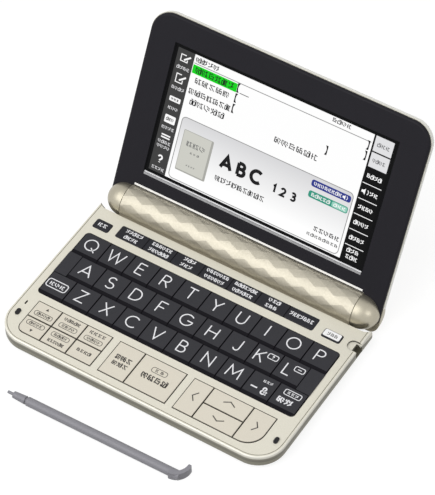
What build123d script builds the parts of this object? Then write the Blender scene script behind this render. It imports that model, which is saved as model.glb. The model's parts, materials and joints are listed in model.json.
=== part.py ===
from build123d import *
import math
import os

os.makedirs("parts", exist_ok=True)

# An electronic dictionary: a flat base with a keyboard, a faceted battery barrel along its rear edge,
# and a lid with a colour display that turns about the barrel's axis. All sizes are in millimetres.
# X runs to the right, Y to the rear and Z up. The origin is on the table, under the footprint's middle.

# Letter keys
KEY_PITCH = 13.8
ROW_PITCH = 13.97
KEYS_PER_ROW = 10
KEY_ROWS = 3
KEY_GAP = 0.3
KEY_SKIRT = 1.7
KEY_SKIRT_DROP = 0.75
KEY_EDGE = 0.2
KEY_PROUD = 0.4
KEY_CAP_HEIGHT = 1.6
KEY_TRAVEL = 0.8
ROW_2_SHIFT = 6.65
ROW_3_FIRST_KEY = 13.3
PLUNGER_WIDTH = 3.0
PLUNGER_HEIGHT = 0.9
FILLER_RAIL = 0.4
FIELD_CORNER = 2.0
FIELD_ROOM = 0.2

# Function row behind the letter keys
FUNCTION_DEPTH = 7.7
FUNCTION_KEYS = 7
FUNCTION_PITCH = 15.42
FUNCTION_MIDDLE_X = -3.05
FUNCTION_TRAVEL = 0.6
POWER_KEY_WIDTH = 8.8
POWER_KEY_DEPTH = 5.8
HOME_KEY_WIDTH = 9.8
HOME_KEY_DEPTH = 5.3
HOME_KEY_GAP = 4.5
POWER_KEY_GAP = 3.68
SIDE_KEY_MARGIN = 3.0
SIDE_KEY_SHIFT = 0.5
HOME_KEY_SHIFT = 0.3
FUNCTION_CORNER = 0.9
STRIP_INSET = 1.0
STRIP_THICKNESS = 0.5

# Smooth keys at the front, in three groups
SOFT_ROW_DEPTH = 9.65
SOFT_COLUMN_1 = 13.2
SOFT_COLUMN_2 = 14.05
SOFT_COLUMN_3 = 13.7
BACK_KEY_WIDTH = 13.9
ENTER_KEY_WIDTH = 22.3
LEFT_ARROW_WIDTH = 10.5
MIDDLE_ARROW_WIDTH = 21.1
RIGHT_ARROW_WIDTH = 11.9
SOFT_GROUP_GAP_1 = 3.9
SOFT_GROUP_GAP_2 = 3.85
SOFT_LEFT_SHIFT = 4.3
SOFT_PROUD = 0.2
SOFT_CAP_HEIGHT = 1.5
SOFT_EDGE = 0.25
SOFT_CORNER = 4.0
ARROW_CORNER = 9.0
SOFT_GAP = 0.34
SOFT_HOLE_ROOM = 0.12

# Margins that place the keys on the base
SIDE_MARGIN = 5.0
FRONT_MARGIN = 4.95
SOFT_TO_FIELD = 4.1
FIELD_TO_FUNCTION = 4.4
FUNCTION_TO_BARREL = 4.2

# Base case
FOOT_HEIGHT = 0.8
FOOT_SINK = 0.35
FOOT_RADIUS = 3.2
FOOT_EDGE = 0.25
FOOT_FROM_SIDE = 11.0
FOOT_FROM_FRONT = 12.0
FOOT_FROM_REAR = 5.6
CASE_WALL = 1.4
LOWER_WALL = 2.0
TOP_THICKNESS = 1.3
FLOOR_THICKNESS = 1.0
FRONT_CORNER = 14.0
REAR_CORNER = 1.0
TOP_EDGE = 0.7
BOTTOM_EDGE = 2.2
LOWER_CASE_HEIGHT = 3.8
GROOVE_INSET = 1.0
GROOVE_WIDTH = 0.3
GROOVE_DEPTH = 0.3
EAR_LENGTH = 4.0
LID_GAP = 0.8
BUMPER_LENGTH = 3.6
BUMPER_WIDTH = 2.0
BUMPER_PROUD = 0.6
BUMPER_FROM_SIDE = 4.6
BUMPER_FOOT = 3.0
BUMPER_FROM_FRONT = 13.9
MICROPHONE_LENGTH = 2.4
MICROPHONE_WIDTH = 0.8
MICROPHONE_FROM_FRONT = 20.5

# Screws and board
SCREW_RADIUS = 0.9
SCREW_HEAD_RADIUS = 1.7
SCREW_HEAD_HEIGHT = 1.0
BOSS_RADIUS = 1.75
SCREW_ROOM = 0.1
SCREW_SEAT = 1.3
PILLAR_RADIUS = 2.6
SCREW_SLOT = 2.0
SCREW_SLOT_WIDTH = 0.4
SCREW_FROM_SIDE = 8.0
SCREW_INNER_X = 21.75
BOSS_ROOF = 0.3
BOARD_THICKNESS = 1.0
BOARD_LIFT = 1.2
BOARD_MARGIN = 3.0
BOARD_FRONT_MARGIN = 1.5
BOARD_ROOM = 0.2
POST_RADIUS = 1.5
POST_FROM_SIDE = 14.0
POST_FROM_FRONT = 9.0
POST_FROM_SCREW = 6.0
CHIP_HEIGHT = 0.8
PROCESSOR_WIDTH = 24.0
PROCESSOR_DEPTH = 20.0
MEMORY_WIDTH = 14.0
MEMORY_DEPTH = 12.0
MAT_THICKNESS = 0.8
DOME_PAD = 4.0
PAD_ROOM = 0.1

# Battery barrel
BATTERY_RADIUS = 7.25
BATTERY_LENGTH = 50.5
BATTERY_NUB_RADIUS = 2.75
BATTERY_NUB_LENGTH = 1.0
BATTERY_CLEARANCE = 0.1
BARREL_WALL = 0.96
BARREL_ROWS = 24
BARREL_PERIODS = 12
CONTACT_SPACE = 2.5
CONTACT_THICKNESS = 0.5
CONTACT_RADIUS = 3.4
SPRING_RADIUS = 2.2
CELL_EDGE = 0.4
BARREL_LIFT = 0.7
SADDLE = 0.9
SADDLE_DROP = 0.3
WELL_ROOM = 0.3
COVER_GAP = 0.15
COVER_EDGE_RISE = 5.7
COVER_FLOOR = 1.0
COVER_LIFT = 0.1

# Lid
LID_OPEN_DEG = 117.4
LID_THICKNESS = 6.5
LID_SIDE_INSET = 0.1
LID_FRONT_OVERHANG = 1.2
LID_CORNER = 11.0
LID_BACK_EDGE = 3.4
BEZEL_THICKNESS = 1.6
BEZEL_INSET = 0.35
BEZEL_EDGE = 1.2
LID_FOOT_GAP = 0.35
CHEEK_RIM = 0.55
CHEEK_CORNER = 4.5
CHEEK_DROP = 5.5
CHEEK_CLEARANCE = 0.6
KNUCKLE_GAP = 0.3
KNUCKLE_DROP = 0.3
KNUCKLE_LENGTH = 10.3
KNUCKLE_STRAIGHT = 1.0
KNUCKLE_RIM = 0.4
KNUCKLE_SEAM = 0.02
PIN_RADIUS = 2.0
PIN_CLEARANCE = 0.04
PIN_END_ROOM = 0.3
PIN_REACH = 4.5
PIN_BACKING = 4.0
PIN_GRIP_LEAST = 3.0
SCREEN_WIDTH = 115.5
SCREEN_HEIGHT = 63.9
SCREEN_BORDER = 1.7
SCREEN_FROM_AXIS = 19.0
SCREEN_RECESS = 0.8
WINDOW_SLOPE = 0.7
WINDOW_GAP = 0.05
GLASS_THICKNESS = 0.9
GLASS_GAP = 0.1
MODULE_THICKNESS = 2.2
MODULE_FLANGE = 3.5
MODULE_LOW_FLANGE = 0.5
MODULE_GAP = 0.2
LIP_WIDTH = 1.8
LIP_INSET = 0.5
LIP_LEDGE = 1.05
LIP_GROOVE = 0.15
LIP_GROOVE_DEPTH = 0.35
LIP_RIDGE_DROP = 0.15
LIP_PROUD = 0.05
TRIM_WIDTH = 1.3
TRIM_DEPTH = 0.5
TRIM_PROUD = 0.1
TRIM_INSET = 1.0

# Stylus
STYLUS_RADIUS = 2.2
STYLUS_LENGTH = 93.4
STYLUS_POINT_LENGTH = 3.2
STYLUS_POINT_RADIUS = 0.7
STYLUS_NECK_RADIUS = 1.65
STYLUS_NOSE_LENGTH = 6.4
STYLUS_NOSE_RADIUS = 2.0
STYLUS_GROOVE = 0.8
STYLUS_GROOVE_DEPTH = 0.7
STYLUS_SHAFT_EDGE = 0.3
STYLUS_HOOK_LENGTH = 7.5
STYLUS_HOOK_REACH = 6.3
STYLUS_HOOK_THICKNESS = 1.6
STYLUS_HOOK_BACK = 0.2
STYLUS_HOOK_BEND = 2.4
STYLUS_HOOK_SAG = 0.7
STYLUS_TURN_DEG = 1.0
STYLUS_Y = -74.7
STYLUS_LEFT_X = -50.0
SLOT_SIDE_ROOM = 0.5
SLOT_TOP_ROOM = 0.2
SLOT_ROOF = 0.5
SLOT_WALL = 1.0
SLOT_FROM_FUNCTION = 3.3
SLOT_END_ROOM = 2.6
NOTCH_LENGTH = 5.6
NOTCH_WIDTH = 6.0
NOTCH_SHIFT = 0.65
NOTCH_CORNER = 2.8
NOTCH_DEPTH = 0.8
MOUTH_LENGTH = 2.3
MOUTH_SHIFT = 0.7
MOUTH_WIDTH = 4.2

# Heights
BARREL_INNER = BATTERY_RADIUS + BATTERY_CLEARANCE
BARREL_RADIUS = (BARREL_INNER + BARREL_WALL) / math.cos(2 * math.pi / BARREL_ROWS)
AXIS_Z = BARREL_RADIUS + BARREL_LIFT
TOP_Z = AXIS_Z - LID_GAP
BOTTOM_Z = FOOT_HEIGHT
PARTING_Z = BOTTOM_Z + LOWER_CASE_HEIGHT
FLOOR_Z = BOTTOM_Z + FLOOR_THICKNESS
PLATE_Z = TOP_Z - TOP_THICKNESS
BOARD_Z = FLOOR_Z + BOARD_LIFT
MAT_Z = BOARD_Z + BOARD_THICKNESS
FUNCTION_CAP_HEIGHT = KEY_PROUD + TOP_THICKNESS - FUNCTION_TRAVEL

# Widths
FIELD_WIDTH = KEYS_PER_ROW * KEY_PITCH
CAVITY_HALF = BATTERY_LENGTH + CONTACT_SPACE
POWER_X = FUNCTION_MIDDLE_X - FUNCTION_KEYS * FUNCTION_PITCH / 2 - POWER_KEY_GAP - POWER_KEY_WIDTH
HOME_X = FUNCTION_MIDDLE_X + FUNCTION_KEYS * FUNCTION_PITCH / 2 + HOME_KEY_GAP
# The case is as wide as the most that one of three needs: the letter field, the barrel with its batteries
# and hinge pins, and the function row with the keys beside it
BARREL_NEED = (CAVITY_HALF + PIN_BACKING + PIN_GRIP_LEAST + KNUCKLE_GAP + KNUCKLE_LENGTH + KNUCKLE_RIM
               + LID_SIDE_INSET)
FUNCTION_NEED = max(-POWER_X, HOME_X + HOME_KEY_WIDTH) + SIDE_KEY_MARGIN
HALF_WIDTH = max(FIELD_WIDTH / 2 + SIDE_MARGIN, BARREL_NEED, FUNCTION_NEED)
FIELD_X = -FIELD_WIDTH / 2
LID_HALF = HALF_WIDTH - LID_SIDE_INSET
KNUCKLE_X = LID_HALF - KNUCKLE_RIM - KNUCKLE_LENGTH
BARREL_HALF = KNUCKLE_X - KNUCKLE_GAP
PIN_GRIP = BARREL_HALF - CAVITY_HALF - PIN_BACKING
BUMPER_X = HALF_WIDTH - BUMPER_FROM_SIDE

# Depths, from the front edge to the rear of the barrel
FIELD_DEPTH = KEY_ROWS * ROW_PITCH
SOFT_DEPTH = 2 * SOFT_ROW_DEPTH
DEPTH = (FRONT_MARGIN + SOFT_DEPTH + SOFT_TO_FIELD + FIELD_DEPTH + FIELD_TO_FUNCTION + FUNCTION_DEPTH
         + FUNCTION_TO_BARREL + SADDLE + 2 * BARREL_RADIUS)
FRONT_Y = -DEPTH / 2
SOFT_Y = FRONT_Y + FRONT_MARGIN
FIELD_Y = SOFT_Y + SOFT_DEPTH + SOFT_TO_FIELD
FUNCTION_Y = FIELD_Y + FIELD_DEPTH + FIELD_TO_FUNCTION
REAR_Y = FUNCTION_Y + FUNCTION_DEPTH + FUNCTION_TO_BARREL
AXIS_Y = REAR_Y + SADDLE + BARREL_RADIUS
EAR_Y = REAR_Y + EAR_LENGTH
SLOT_Y = FUNCTION_Y + SLOT_FROM_FUNCTION

# Lid in its own frame: X along the hinge, Y away from the hinge axis, Z out of the display's face
LID_TOP = AXIS_Y - FRONT_Y + LID_FRONT_OVERHANG
LID_FOOT = BARREL_RADIUS + LID_FOOT_GAP
KNUCKLE_RADIUS = BARREL_RADIUS - KNUCKLE_DROP
CHEEK_RADIUS = KNUCKLE_RADIUS + CHEEK_RIM
OPENING_HALF = SCREEN_WIDTH / 2 + SCREEN_BORDER
OPENING_LOW = SCREEN_FROM_AXIS - SCREEN_BORDER / 2
OPENING_HIGH = SCREEN_FROM_AXIS + SCREEN_HEIGHT + SCREEN_BORDER

REAR_SCREW_Y = FIELD_Y + FIELD_DEPTH + FIELD_TO_FUNCTION / 2
FRONT_SCREW_Y = FIELD_Y - SOFT_TO_FIELD / 2
SCREW_PLACES = [
    (-HALF_WIDTH + SCREW_FROM_SIDE, REAR_SCREW_Y),
    (HALF_WIDTH - SCREW_FROM_SIDE, REAR_SCREW_Y),
    (-SCREW_INNER_X, FRONT_SCREW_Y),
    (SCREW_INNER_X, FRONT_SCREW_Y),
]

written = []


def save(shape, name):
    """Write one sub-part."""
    shape.label = name
    export_step(shape, os.path.join("parts", name + ".step"))
    written.append(name)


def block(x0, x1, y0, y1, z0, z1):
    """A box between two corners."""
    middle = Pos((x0 + x1) / 2, (y0 + y1) / 2, (z0 + z1) / 2)
    return middle * Box(x1 - x0, y1 - y0, z1 - z0)


def along_x(points, x0, x1):
    """A prism along X with an outline of (y, z) points."""
    return Pos(x0, 0, 0) * extrude(Plane.YZ * Polygon(*points, align=None), x1 - x0)


def along_y(points, y0, y1):
    """A prism along Y with an outline of (x, z) points."""
    return Pos(0, y1, 0) * extrude(Plane.XZ * Polygon(*points, align=None), y1 - y0)


def rod_x(radius, x0, x1, y=0.0, z=0.0):
    """A round bar along X."""
    return Pos((x0 + x1) / 2, y, z) * Rot(0, 90, 0) * Cylinder(radius, x1 - x0)


def upright(radius, x, y, z0, z1):
    """A round bar along Z."""
    return Pos(x, y, (z0 + z1) / 2) * Cylinder(radius, z1 - z0)


def group(solids):
    """Separate solids kept together in one sub-part."""
    return Compound(children=list(solids))


def place_lid(shape):
    """Carry a piece from the lid's own frame to the open lid."""
    return Pos(0, AXIS_Y, AXIS_Z) * Rot(180 - LID_OPEN_DEG, 0, 0) * shape


# ---------------------------------------------------------------- keys

def corner_waste(x, y, side_x, side_y):
    """What a rounded corner takes away from a key at a corner of the letter field."""
    middle_x = x - side_x * FIELD_CORNER
    middle_y = y - side_y * FIELD_CORNER
    x_range = sorted((middle_x, x + side_x))
    y_range = sorted((middle_y, y + side_y))
    return block(*x_range, *y_range, 0, TOP_Z + 1) - upright(FIELD_CORNER, middle_x, middle_y, 0, TOP_Z + 1)


def letter_key(x0, x1, row):
    """A flat-topped key with a sloping front skirt, chamfered sides and a plunger below."""
    y0 = FIELD_Y + (KEY_ROWS - 1 - row) * ROW_PITCH + KEY_GAP / 2
    y1 = y0 + ROW_PITCH - KEY_GAP
    x0 = x0 + KEY_GAP / 2
    x1 = x1 - KEY_GAP / 2
    top = TOP_Z + KEY_PROUD
    low = top - KEY_CAP_HEIGHT
    side_view = [(y0, low), (y1, low), (y1, top - KEY_EDGE), (y1 - KEY_EDGE, top), (y0 + KEY_SKIRT, top),
                 (y0, top - KEY_SKIRT_DROP)]
    front_view = [(x0, low), (x1, low), (x1, top - KEY_EDGE), (x1 - KEY_EDGE, top), (x0 + KEY_EDGE, top),
                  (x0, top - KEY_EDGE)]
    cap = along_x(side_view, x0, x1) & along_y(front_view, y0, y1)
    y_edge, side_y = (y1, 1) if row == 0 else (y0, -1)
    if row != 1 and x0 < FIELD_X + KEY_GAP:
        cap = cap - corner_waste(x0, y_edge, -1, side_y)
    if row != 1 and x1 > FIELD_X + FIELD_WIDTH - KEY_GAP:
        cap = cap - corner_waste(x1, y_edge, 1, side_y)
    return cap + plunger((x0 + x1) / 2, (y0 + y1) / 2, low, PLUNGER_HEIGHT)


def plunger(x, y, low, height):
    """The square stem that presses the rubber mat."""
    half = PLUNGER_WIDTH / 2
    return block(x - half, x + half, y - half, y + half, low - height, low)


def row_spans(row):
    """The (name, left, right) of each key in a row of the letter field."""
    if row == 0:
        names = "QWERTYUIOP"
        start = FIELD_X
    elif row == 1:
        names = "ASDFGHJKL"
        start = FIELD_X + ROW_2_SHIFT
    else:
        names = "ZXCVBNM"
        start = FIELD_X + ROW_3_FIRST_KEY
    spans = [("key_" + name.lower(), start + i * KEY_PITCH, start + (i + 1) * KEY_PITCH)
             for i, name in enumerate(names)]
    end = start + len(names) * KEY_PITCH
    if row == 2:
        spans.insert(0, ("key_shift", FIELD_X, start))
        spans.append(("key_symbol", end, end + KEY_PITCH))
        spans.append(("key_delete", end + KEY_PITCH, FIELD_X + FIELD_WIDTH))
    return spans


def letter_keys():
    """The 29 keys of the letter field."""
    for row in range(KEY_ROWS):
        for name, x0, x1 in row_spans(row):
            save(letter_key(x0, x1, row), name)


def row_fillers():
    """The two blank caps that fill the ends of the middle row and belong to the upper case."""
    first = row_spans(1)[0][1]
    last = row_spans(1)[-1][2]
    y0 = FIELD_Y + ROW_PITCH + KEY_GAP / 2
    y1 = y0 + ROW_PITCH - KEY_GAP
    top = TOP_Z + KEY_PROUD
    solids = []
    field_end = FIELD_X + FIELD_WIDTH + FIELD_ROOM
    for x0, x1, side in ((-field_end, first - KEY_GAP / 2, -1), (last + KEY_GAP / 2, field_end, 1)):
        solids.append(block(x0, x1, y0, y1, top - KEY_CAP_HEIGHT, top))
        edge = side * field_end
        rail = block(edge - FILLER_RAIL, edge + FILLER_RAIL, y0, y1, PLATE_Z, PLATE_Z + FILLER_RAIL)
        solids.append(rail)
    return solids


def low_key(x0, x1, y0, y1):
    """A low round-cornered key in its opening, with a chamfered top edge."""
    width = x1 - x0 - KEY_GAP
    depth = y1 - y0 - KEY_GAP
    low = TOP_Z + KEY_PROUD - FUNCTION_CAP_HEIGHT
    outline = Pos((x0 + x1) / 2, (y0 + y1) / 2, low) * RectangleRounded(width, depth, FUNCTION_CORNER)
    key = extrude(outline, FUNCTION_CAP_HEIGHT)
    return chamfer(key.faces().sort_by(Axis.Z)[-1].edges(), KEY_EDGE)


def function_spans():
    """The left and right edge of each function key."""
    start = FUNCTION_MIDDLE_X - FUNCTION_KEYS * FUNCTION_PITCH / 2
    return [(start + i * FUNCTION_PITCH, start + (i + 1) * FUNCTION_PITCH) for i in range(FUNCTION_KEYS)]


POWER_Y = FUNCTION_Y - SIDE_KEY_SHIFT
HOME_Y = POWER_Y + HOME_KEY_SHIFT


def function_keys():
    """The function bar, seven caps moulded on one flexing strip, and the single keys beside it."""
    spans = function_spans()
    low = TOP_Z + KEY_PROUD - FUNCTION_CAP_HEIGHT
    bar = block(spans[0][0] + STRIP_INSET, spans[-1][1] - STRIP_INSET, FUNCTION_Y + STRIP_INSET,
                FUNCTION_Y + FUNCTION_DEPTH - STRIP_INSET, low, low + STRIP_THICKNESS)
    for x0, x1 in spans:
        bar = bar + low_key(x0, x1, FUNCTION_Y, FUNCTION_Y + FUNCTION_DEPTH)
    save(bar, "function_keys")
    save(low_key(POWER_X, POWER_X + POWER_KEY_WIDTH, POWER_Y, POWER_Y + POWER_KEY_DEPTH), "key_power")
    save(low_key(HOME_X, HOME_X + HOME_KEY_WIDTH, HOME_Y, HOME_Y + HOME_KEY_DEPTH), "key_home")


# Left edges of the front key groups
SOFT_X = FIELD_X + SOFT_LEFT_SHIFT
COLUMNS = [SOFT_X, SOFT_X + SOFT_COLUMN_1, SOFT_X + SOFT_COLUMN_1 + SOFT_COLUMN_2,
           SOFT_X + SOFT_COLUMN_1 + SOFT_COLUMN_2 + SOFT_COLUMN_3]
BACK_X = COLUMNS[3] + SOFT_GROUP_GAP_1
ENTER_X = BACK_X + BACK_KEY_WIDTH
ENTER_END = ENTER_X + ENTER_KEY_WIDTH
ARROW_X = ENTER_END + SOFT_GROUP_GAP_2
ARROWS = [ARROW_X, ARROW_X + LEFT_ARROW_WIDTH, ARROW_X + LEFT_ARROW_WIDTH + MIDDLE_ARROW_WIDTH,
          ARROW_X + LEFT_ARROW_WIDTH + MIDDLE_ARROW_WIDTH + RIGHT_ARROW_WIDTH]
SOFT_MIDDLE = SOFT_Y + SOFT_ROW_DEPTH
SOFT_END = SOFT_Y + SOFT_DEPTH


def group_outline(x0, x1, left_corner, right_corner, grow):
    """The outline of one group of front keys, with its outer front corner rounded."""
    middle = Pos((x0 + x1) / 2, (SOFT_Y + SOFT_END) / 2)
    sketch = middle * Rectangle(x1 - x0 + 2 * grow, SOFT_DEPTH + 2 * grow)
    corners = sketch.vertices().group_by(Axis.Y)[0].sort_by(Axis.X)
    if left_corner:
        sketch = fillet(corners[0], left_corner)
    if right_corner:
        corners = sketch.vertices().group_by(Axis.Y)[0].sort_by(Axis.X)
        sketch = fillet(corners[-1], right_corner)
    return sketch


SOFT_GROUPS = [(COLUMNS[0], COLUMNS[3], SOFT_CORNER, 0), (BACK_X, ENTER_END, 0, 0),
               (ARROWS[0], ARROWS[3], 0, ARROW_CORNER)]


def soft_key(name, x0, x1, y0, y1, outline):
    """One smooth front key: its cell of the group outline, chamfered on top, with a plunger."""
    gap = SOFT_GAP / 2
    cell = Pos((x0 + x1) / 2, (y0 + y1) / 2) * Rectangle(x1 - x0 - 2 * gap, y1 - y0 - 2 * gap)
    top = TOP_Z + SOFT_PROUD
    key = extrude(Pos(0, 0, top - SOFT_CAP_HEIGHT) * (cell & outline), SOFT_CAP_HEIGHT)
    key = chamfer(key.faces().sort_by(Axis.Z)[-1].edges(), SOFT_EDGE)
    low = top - SOFT_CAP_HEIGHT
    save(key + plunger((x0 + x1) / 2, (y0 + y1) / 2, low, PLUNGER_HEIGHT), name)


def soft_keys():
    """The twelve smooth keys at the front."""
    first, second, third = [group_outline(*spec, -SOFT_GAP / 2) for spec in SOFT_GROUPS]
    for i in range(3):
        soft_key("key_quick_%d" % (i + 1), COLUMNS[i], COLUMNS[i + 1], SOFT_MIDDLE, SOFT_END, first)
        soft_key("key_quick_%d" % (i + 4), COLUMNS[i], COLUMNS[i + 1], SOFT_Y, SOFT_MIDDLE, first)
    soft_key("key_back", BACK_X, ENTER_X, SOFT_Y, SOFT_END, second)
    soft_key("key_enter", ENTER_X, ENTER_END, SOFT_Y, SOFT_END, second)
    soft_key("key_left", ARROWS[0], ARROWS[1], SOFT_Y, SOFT_END, third)
    soft_key("key_up", ARROWS[1], ARROWS[2], SOFT_MIDDLE, SOFT_END, third)
    soft_key("key_down", ARROWS[1], ARROWS[2], SOFT_Y, SOFT_MIDDLE, third)
    soft_key("key_right", ARROWS[2], ARROWS[3], SOFT_Y, SOFT_END, third)


def plunger_places():
    """The middle of each key that has a plunger, with its pad's height."""
    pads = []
    low = TOP_Z + KEY_PROUD - KEY_CAP_HEIGHT - PLUNGER_HEIGHT
    for row in range(KEY_ROWS):
        y = FIELD_Y + (KEY_ROWS - row - 0.5) * ROW_PITCH
        pads += [((x0 + x1) / 2, y, low) for _, x0, x1 in row_spans(row)]
    low = TOP_Z + SOFT_PROUD - SOFT_CAP_HEIGHT - PLUNGER_HEIGHT
    half = SOFT_ROW_DEPTH / 2
    for i in range(3):
        x = (COLUMNS[i] + COLUMNS[i + 1]) / 2
        pads += [(x, SOFT_Y + half, low), (x, SOFT_MIDDLE + half, low)]
    for x0, x1 in ((BACK_X, ENTER_X), (ENTER_X, ENTER_END), (ARROWS[0], ARROWS[1]), (ARROWS[2], ARROWS[3])):
        pads.append(((x0 + x1) / 2, SOFT_MIDDLE, low))
    x = (ARROWS[1] + ARROWS[2]) / 2
    pads += [(x, SOFT_Y + half, low), (x, SOFT_MIDDLE + half, low)]
    return pads


# ---------------------------------------------------------------- base case

def base_outline(inset):
    """The base seen from above, with large front corners and small rear ones."""
    middle = (FRONT_Y + EAR_Y) / 2
    sketch = Pos(0, middle) * Rectangle(2 * (HALF_WIDTH - inset), EAR_Y - FRONT_Y - 2 * inset)
    front = sketch.vertices().group_by(Axis.Y)[0]
    sketch = fillet(front, FRONT_CORNER - inset)
    rear = sketch.vertices().group_by(Axis.Y)[-1]
    return fillet(rear, max(REAR_CORNER - inset, 0.5))


def cheek_profile(grow):
    """The solid of revolution that the lid's cheeks sweep, on both sides."""
    radius = CHEEK_RADIUS + grow
    end = LID_HALF + grow
    corner = CHEEK_CORNER
    inner = BARREL_HALF
    face = make_face([
        Line((inner, 0), (inner, radius)),
        Line((inner, radius), (end - corner, radius)),
        RadiusArc((end - corner, radius), (end, radius - corner), corner),
        Line((end, radius - corner), (end, 0)),
        Line((end, 0), (inner, 0)),
    ])
    right = revolve(face, Axis.X, 360)
    return right, mirror(right, Plane.YZ)


def barrel_seat():
    """What the barrel and the lid's cheeks take away from the base's rear edge."""
    seat = block(-KNUCKLE_X, KNUCKLE_X, REAR_Y, EAR_Y + 1, 0, TOP_Z + 1)
    right, left = cheek_profile(CHEEK_CLEARANCE)
    return [seat, Pos(0, AXIS_Y, AXIS_Z) * right, Pos(0, AXIS_Y, AXIS_Z) * left]


def stylus_space():
    """The stylus slot, open at the right side."""
    half = STYLUS_RADIUS + SLOT_SIDE_ROOM
    height = 2 * STYLUS_RADIUS + SLOT_TOP_ROOM
    left = HALF_WIDTH - STYLUS_LENGTH - SLOT_END_ROOM
    return block(left, HALF_WIDTH + 1, SLOT_Y - half, SLOT_Y + half, FLOOR_Z, FLOOR_Z + height)


def stylus_mouth():
    """The opening above the slot's right end, where a finger reaches the stylus."""
    front = SLOT_Y - MOUTH_SHIFT - MOUTH_WIDTH / 2
    return block(HALF_WIDTH - MOUTH_LENGTH, HALF_WIDTH + 1, front, front + MOUTH_WIDTH, PARTING_Z, TOP_Z + 1)


def finger_notch():
    """The shallow round-cornered notch in the top plate round the slot's mouth."""
    outline = RectangleRounded(2 * NOTCH_LENGTH, NOTCH_WIDTH, NOTCH_CORNER)
    return extrude(Pos(HALF_WIDTH, SLOT_Y - NOTCH_SHIFT, TOP_Z - NOTCH_DEPTH) * outline, 1 + NOTCH_DEPTH)


def stylus_channel():
    """The walls and the roof that stand round the stylus slot on the lower case's floor."""
    half = STYLUS_RADIUS + SLOT_SIDE_ROOM + SLOT_WALL
    height = 2 * STYLUS_RADIUS + SLOT_TOP_ROOM + SLOT_ROOF
    left = HALF_WIDTH - STYLUS_LENGTH - SLOT_END_ROOM - SLOT_WALL
    right = HALF_WIDTH - CASE_WALL
    return block(left, right, SLOT_Y - half, SLOT_Y + half, BOTTOM_Z + 0.3, FLOOR_Z + height)


def base_upper_case():
    """The top plate with its key openings, edge groove, bosses and shallow side walls."""
    body = extrude(Pos(0, 0, PARTING_Z) * base_outline(0), TOP_Z - PARTING_Z)
    body = fillet(body.faces().sort_by(Axis.Z)[-1].edges(), TOP_EDGE)
    hollow = extrude(Pos(0, 0, PARTING_Z) * base_outline(CASE_WALL), PLATE_Z - PARTING_Z)
    body = body - (hollow - block(-HALF_WIDTH, HALF_WIDTH, REAR_Y - CASE_WALL, EAR_Y + 1, 0, TOP_Z))
    groove = base_outline(GROOVE_INSET) - base_outline(GROOVE_INSET + GROOVE_WIDTH)
    body = body - extrude(Pos(0, 0, TOP_Z - GROOVE_DEPTH) * groove, GROOVE_DEPTH + 1)
    width = FIELD_WIDTH + 2 * FIELD_ROOM
    depth = FIELD_DEPTH + 2 * FIELD_ROOM
    field = RectangleRounded(width, depth, FIELD_CORNER + FIELD_ROOM)
    cuts = [extrude(Pos(0, FIELD_Y + FIELD_DEPTH / 2, PARTING_Z) * field, TOP_Z)]
    for spec in SOFT_GROUPS:
        cuts.append(extrude(Pos(0, 0, PARTING_Z) * group_outline(*spec, SOFT_HOLE_ROOM), TOP_Z))
    spans = function_spans()
    for x0, x1, y0, y1 in (
        (spans[0][0], spans[-1][1], FUNCTION_Y, FUNCTION_Y + FUNCTION_DEPTH),
        (POWER_X, POWER_X + POWER_KEY_WIDTH, POWER_Y, POWER_Y + POWER_KEY_DEPTH),
        (HOME_X, HOME_X + HOME_KEY_WIDTH, HOME_Y, HOME_Y + HOME_KEY_DEPTH),
    ):
        corner = FUNCTION_CORNER + KEY_GAP / 2
        outline = Pos((x0 + x1) / 2, (y0 + y1) / 2, PARTING_Z) * RectangleRounded(x1 - x0, y1 - y0, corner)
        cuts.append(extrude(outline, TOP_Z))
    slit = Pos(-BUMPER_X, FRONT_Y + MICROPHONE_FROM_FRONT, PLATE_Z - 1)
    slit = slit * Rot(0, 0, 90) * SlotOverall(MICROPHONE_LENGTH, MICROPHONE_WIDTH)
    cuts.append(extrude(slit, TOP_THICKNESS + 2))
    for x in (-BUMPER_X, BUMPER_X):
        cuts.append(bumper(x, PLATE_Z - 1))
    cuts.append(stylus_space())
    cuts.append(stylus_mouth())
    cuts.append(finger_notch())
    cuts += barrel_seat()
    for cut in cuts:
        body = body - cut
    for x, y in SCREW_PLACES:
        body = body + upright(BOSS_RADIUS, x, y, PARTING_Z - 1, PLATE_Z + BOSS_ROOF)
        body = body - upright(SCREW_RADIUS, x, y, PARTING_Z - 1, PLATE_Z - BOSS_ROOF)
    for filler in row_fillers():
        body = body + filler
    save(body, "base_upper_case")


def bumper(x, low):
    """The oval stem of a lid bumper at a front corner, from a given height upwards."""
    place = Pos(x, FRONT_Y + BUMPER_FROM_FRONT, low)
    oval = place * Rot(0, 0, 90) * SlotOverall(BUMPER_LENGTH, BUMPER_WIDTH)
    return extrude(oval, TOP_Z + BUMPER_PROUD - low)


def foot_places():
    """Front and rear places of the rubber feet."""
    x = HALF_WIDTH - FOOT_FROM_SIDE
    return [(side * x, y) for y in (FRONT_Y + FOOT_FROM_FRONT, REAR_Y - FOOT_FROM_REAR) for side in (-1, 1)]


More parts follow.
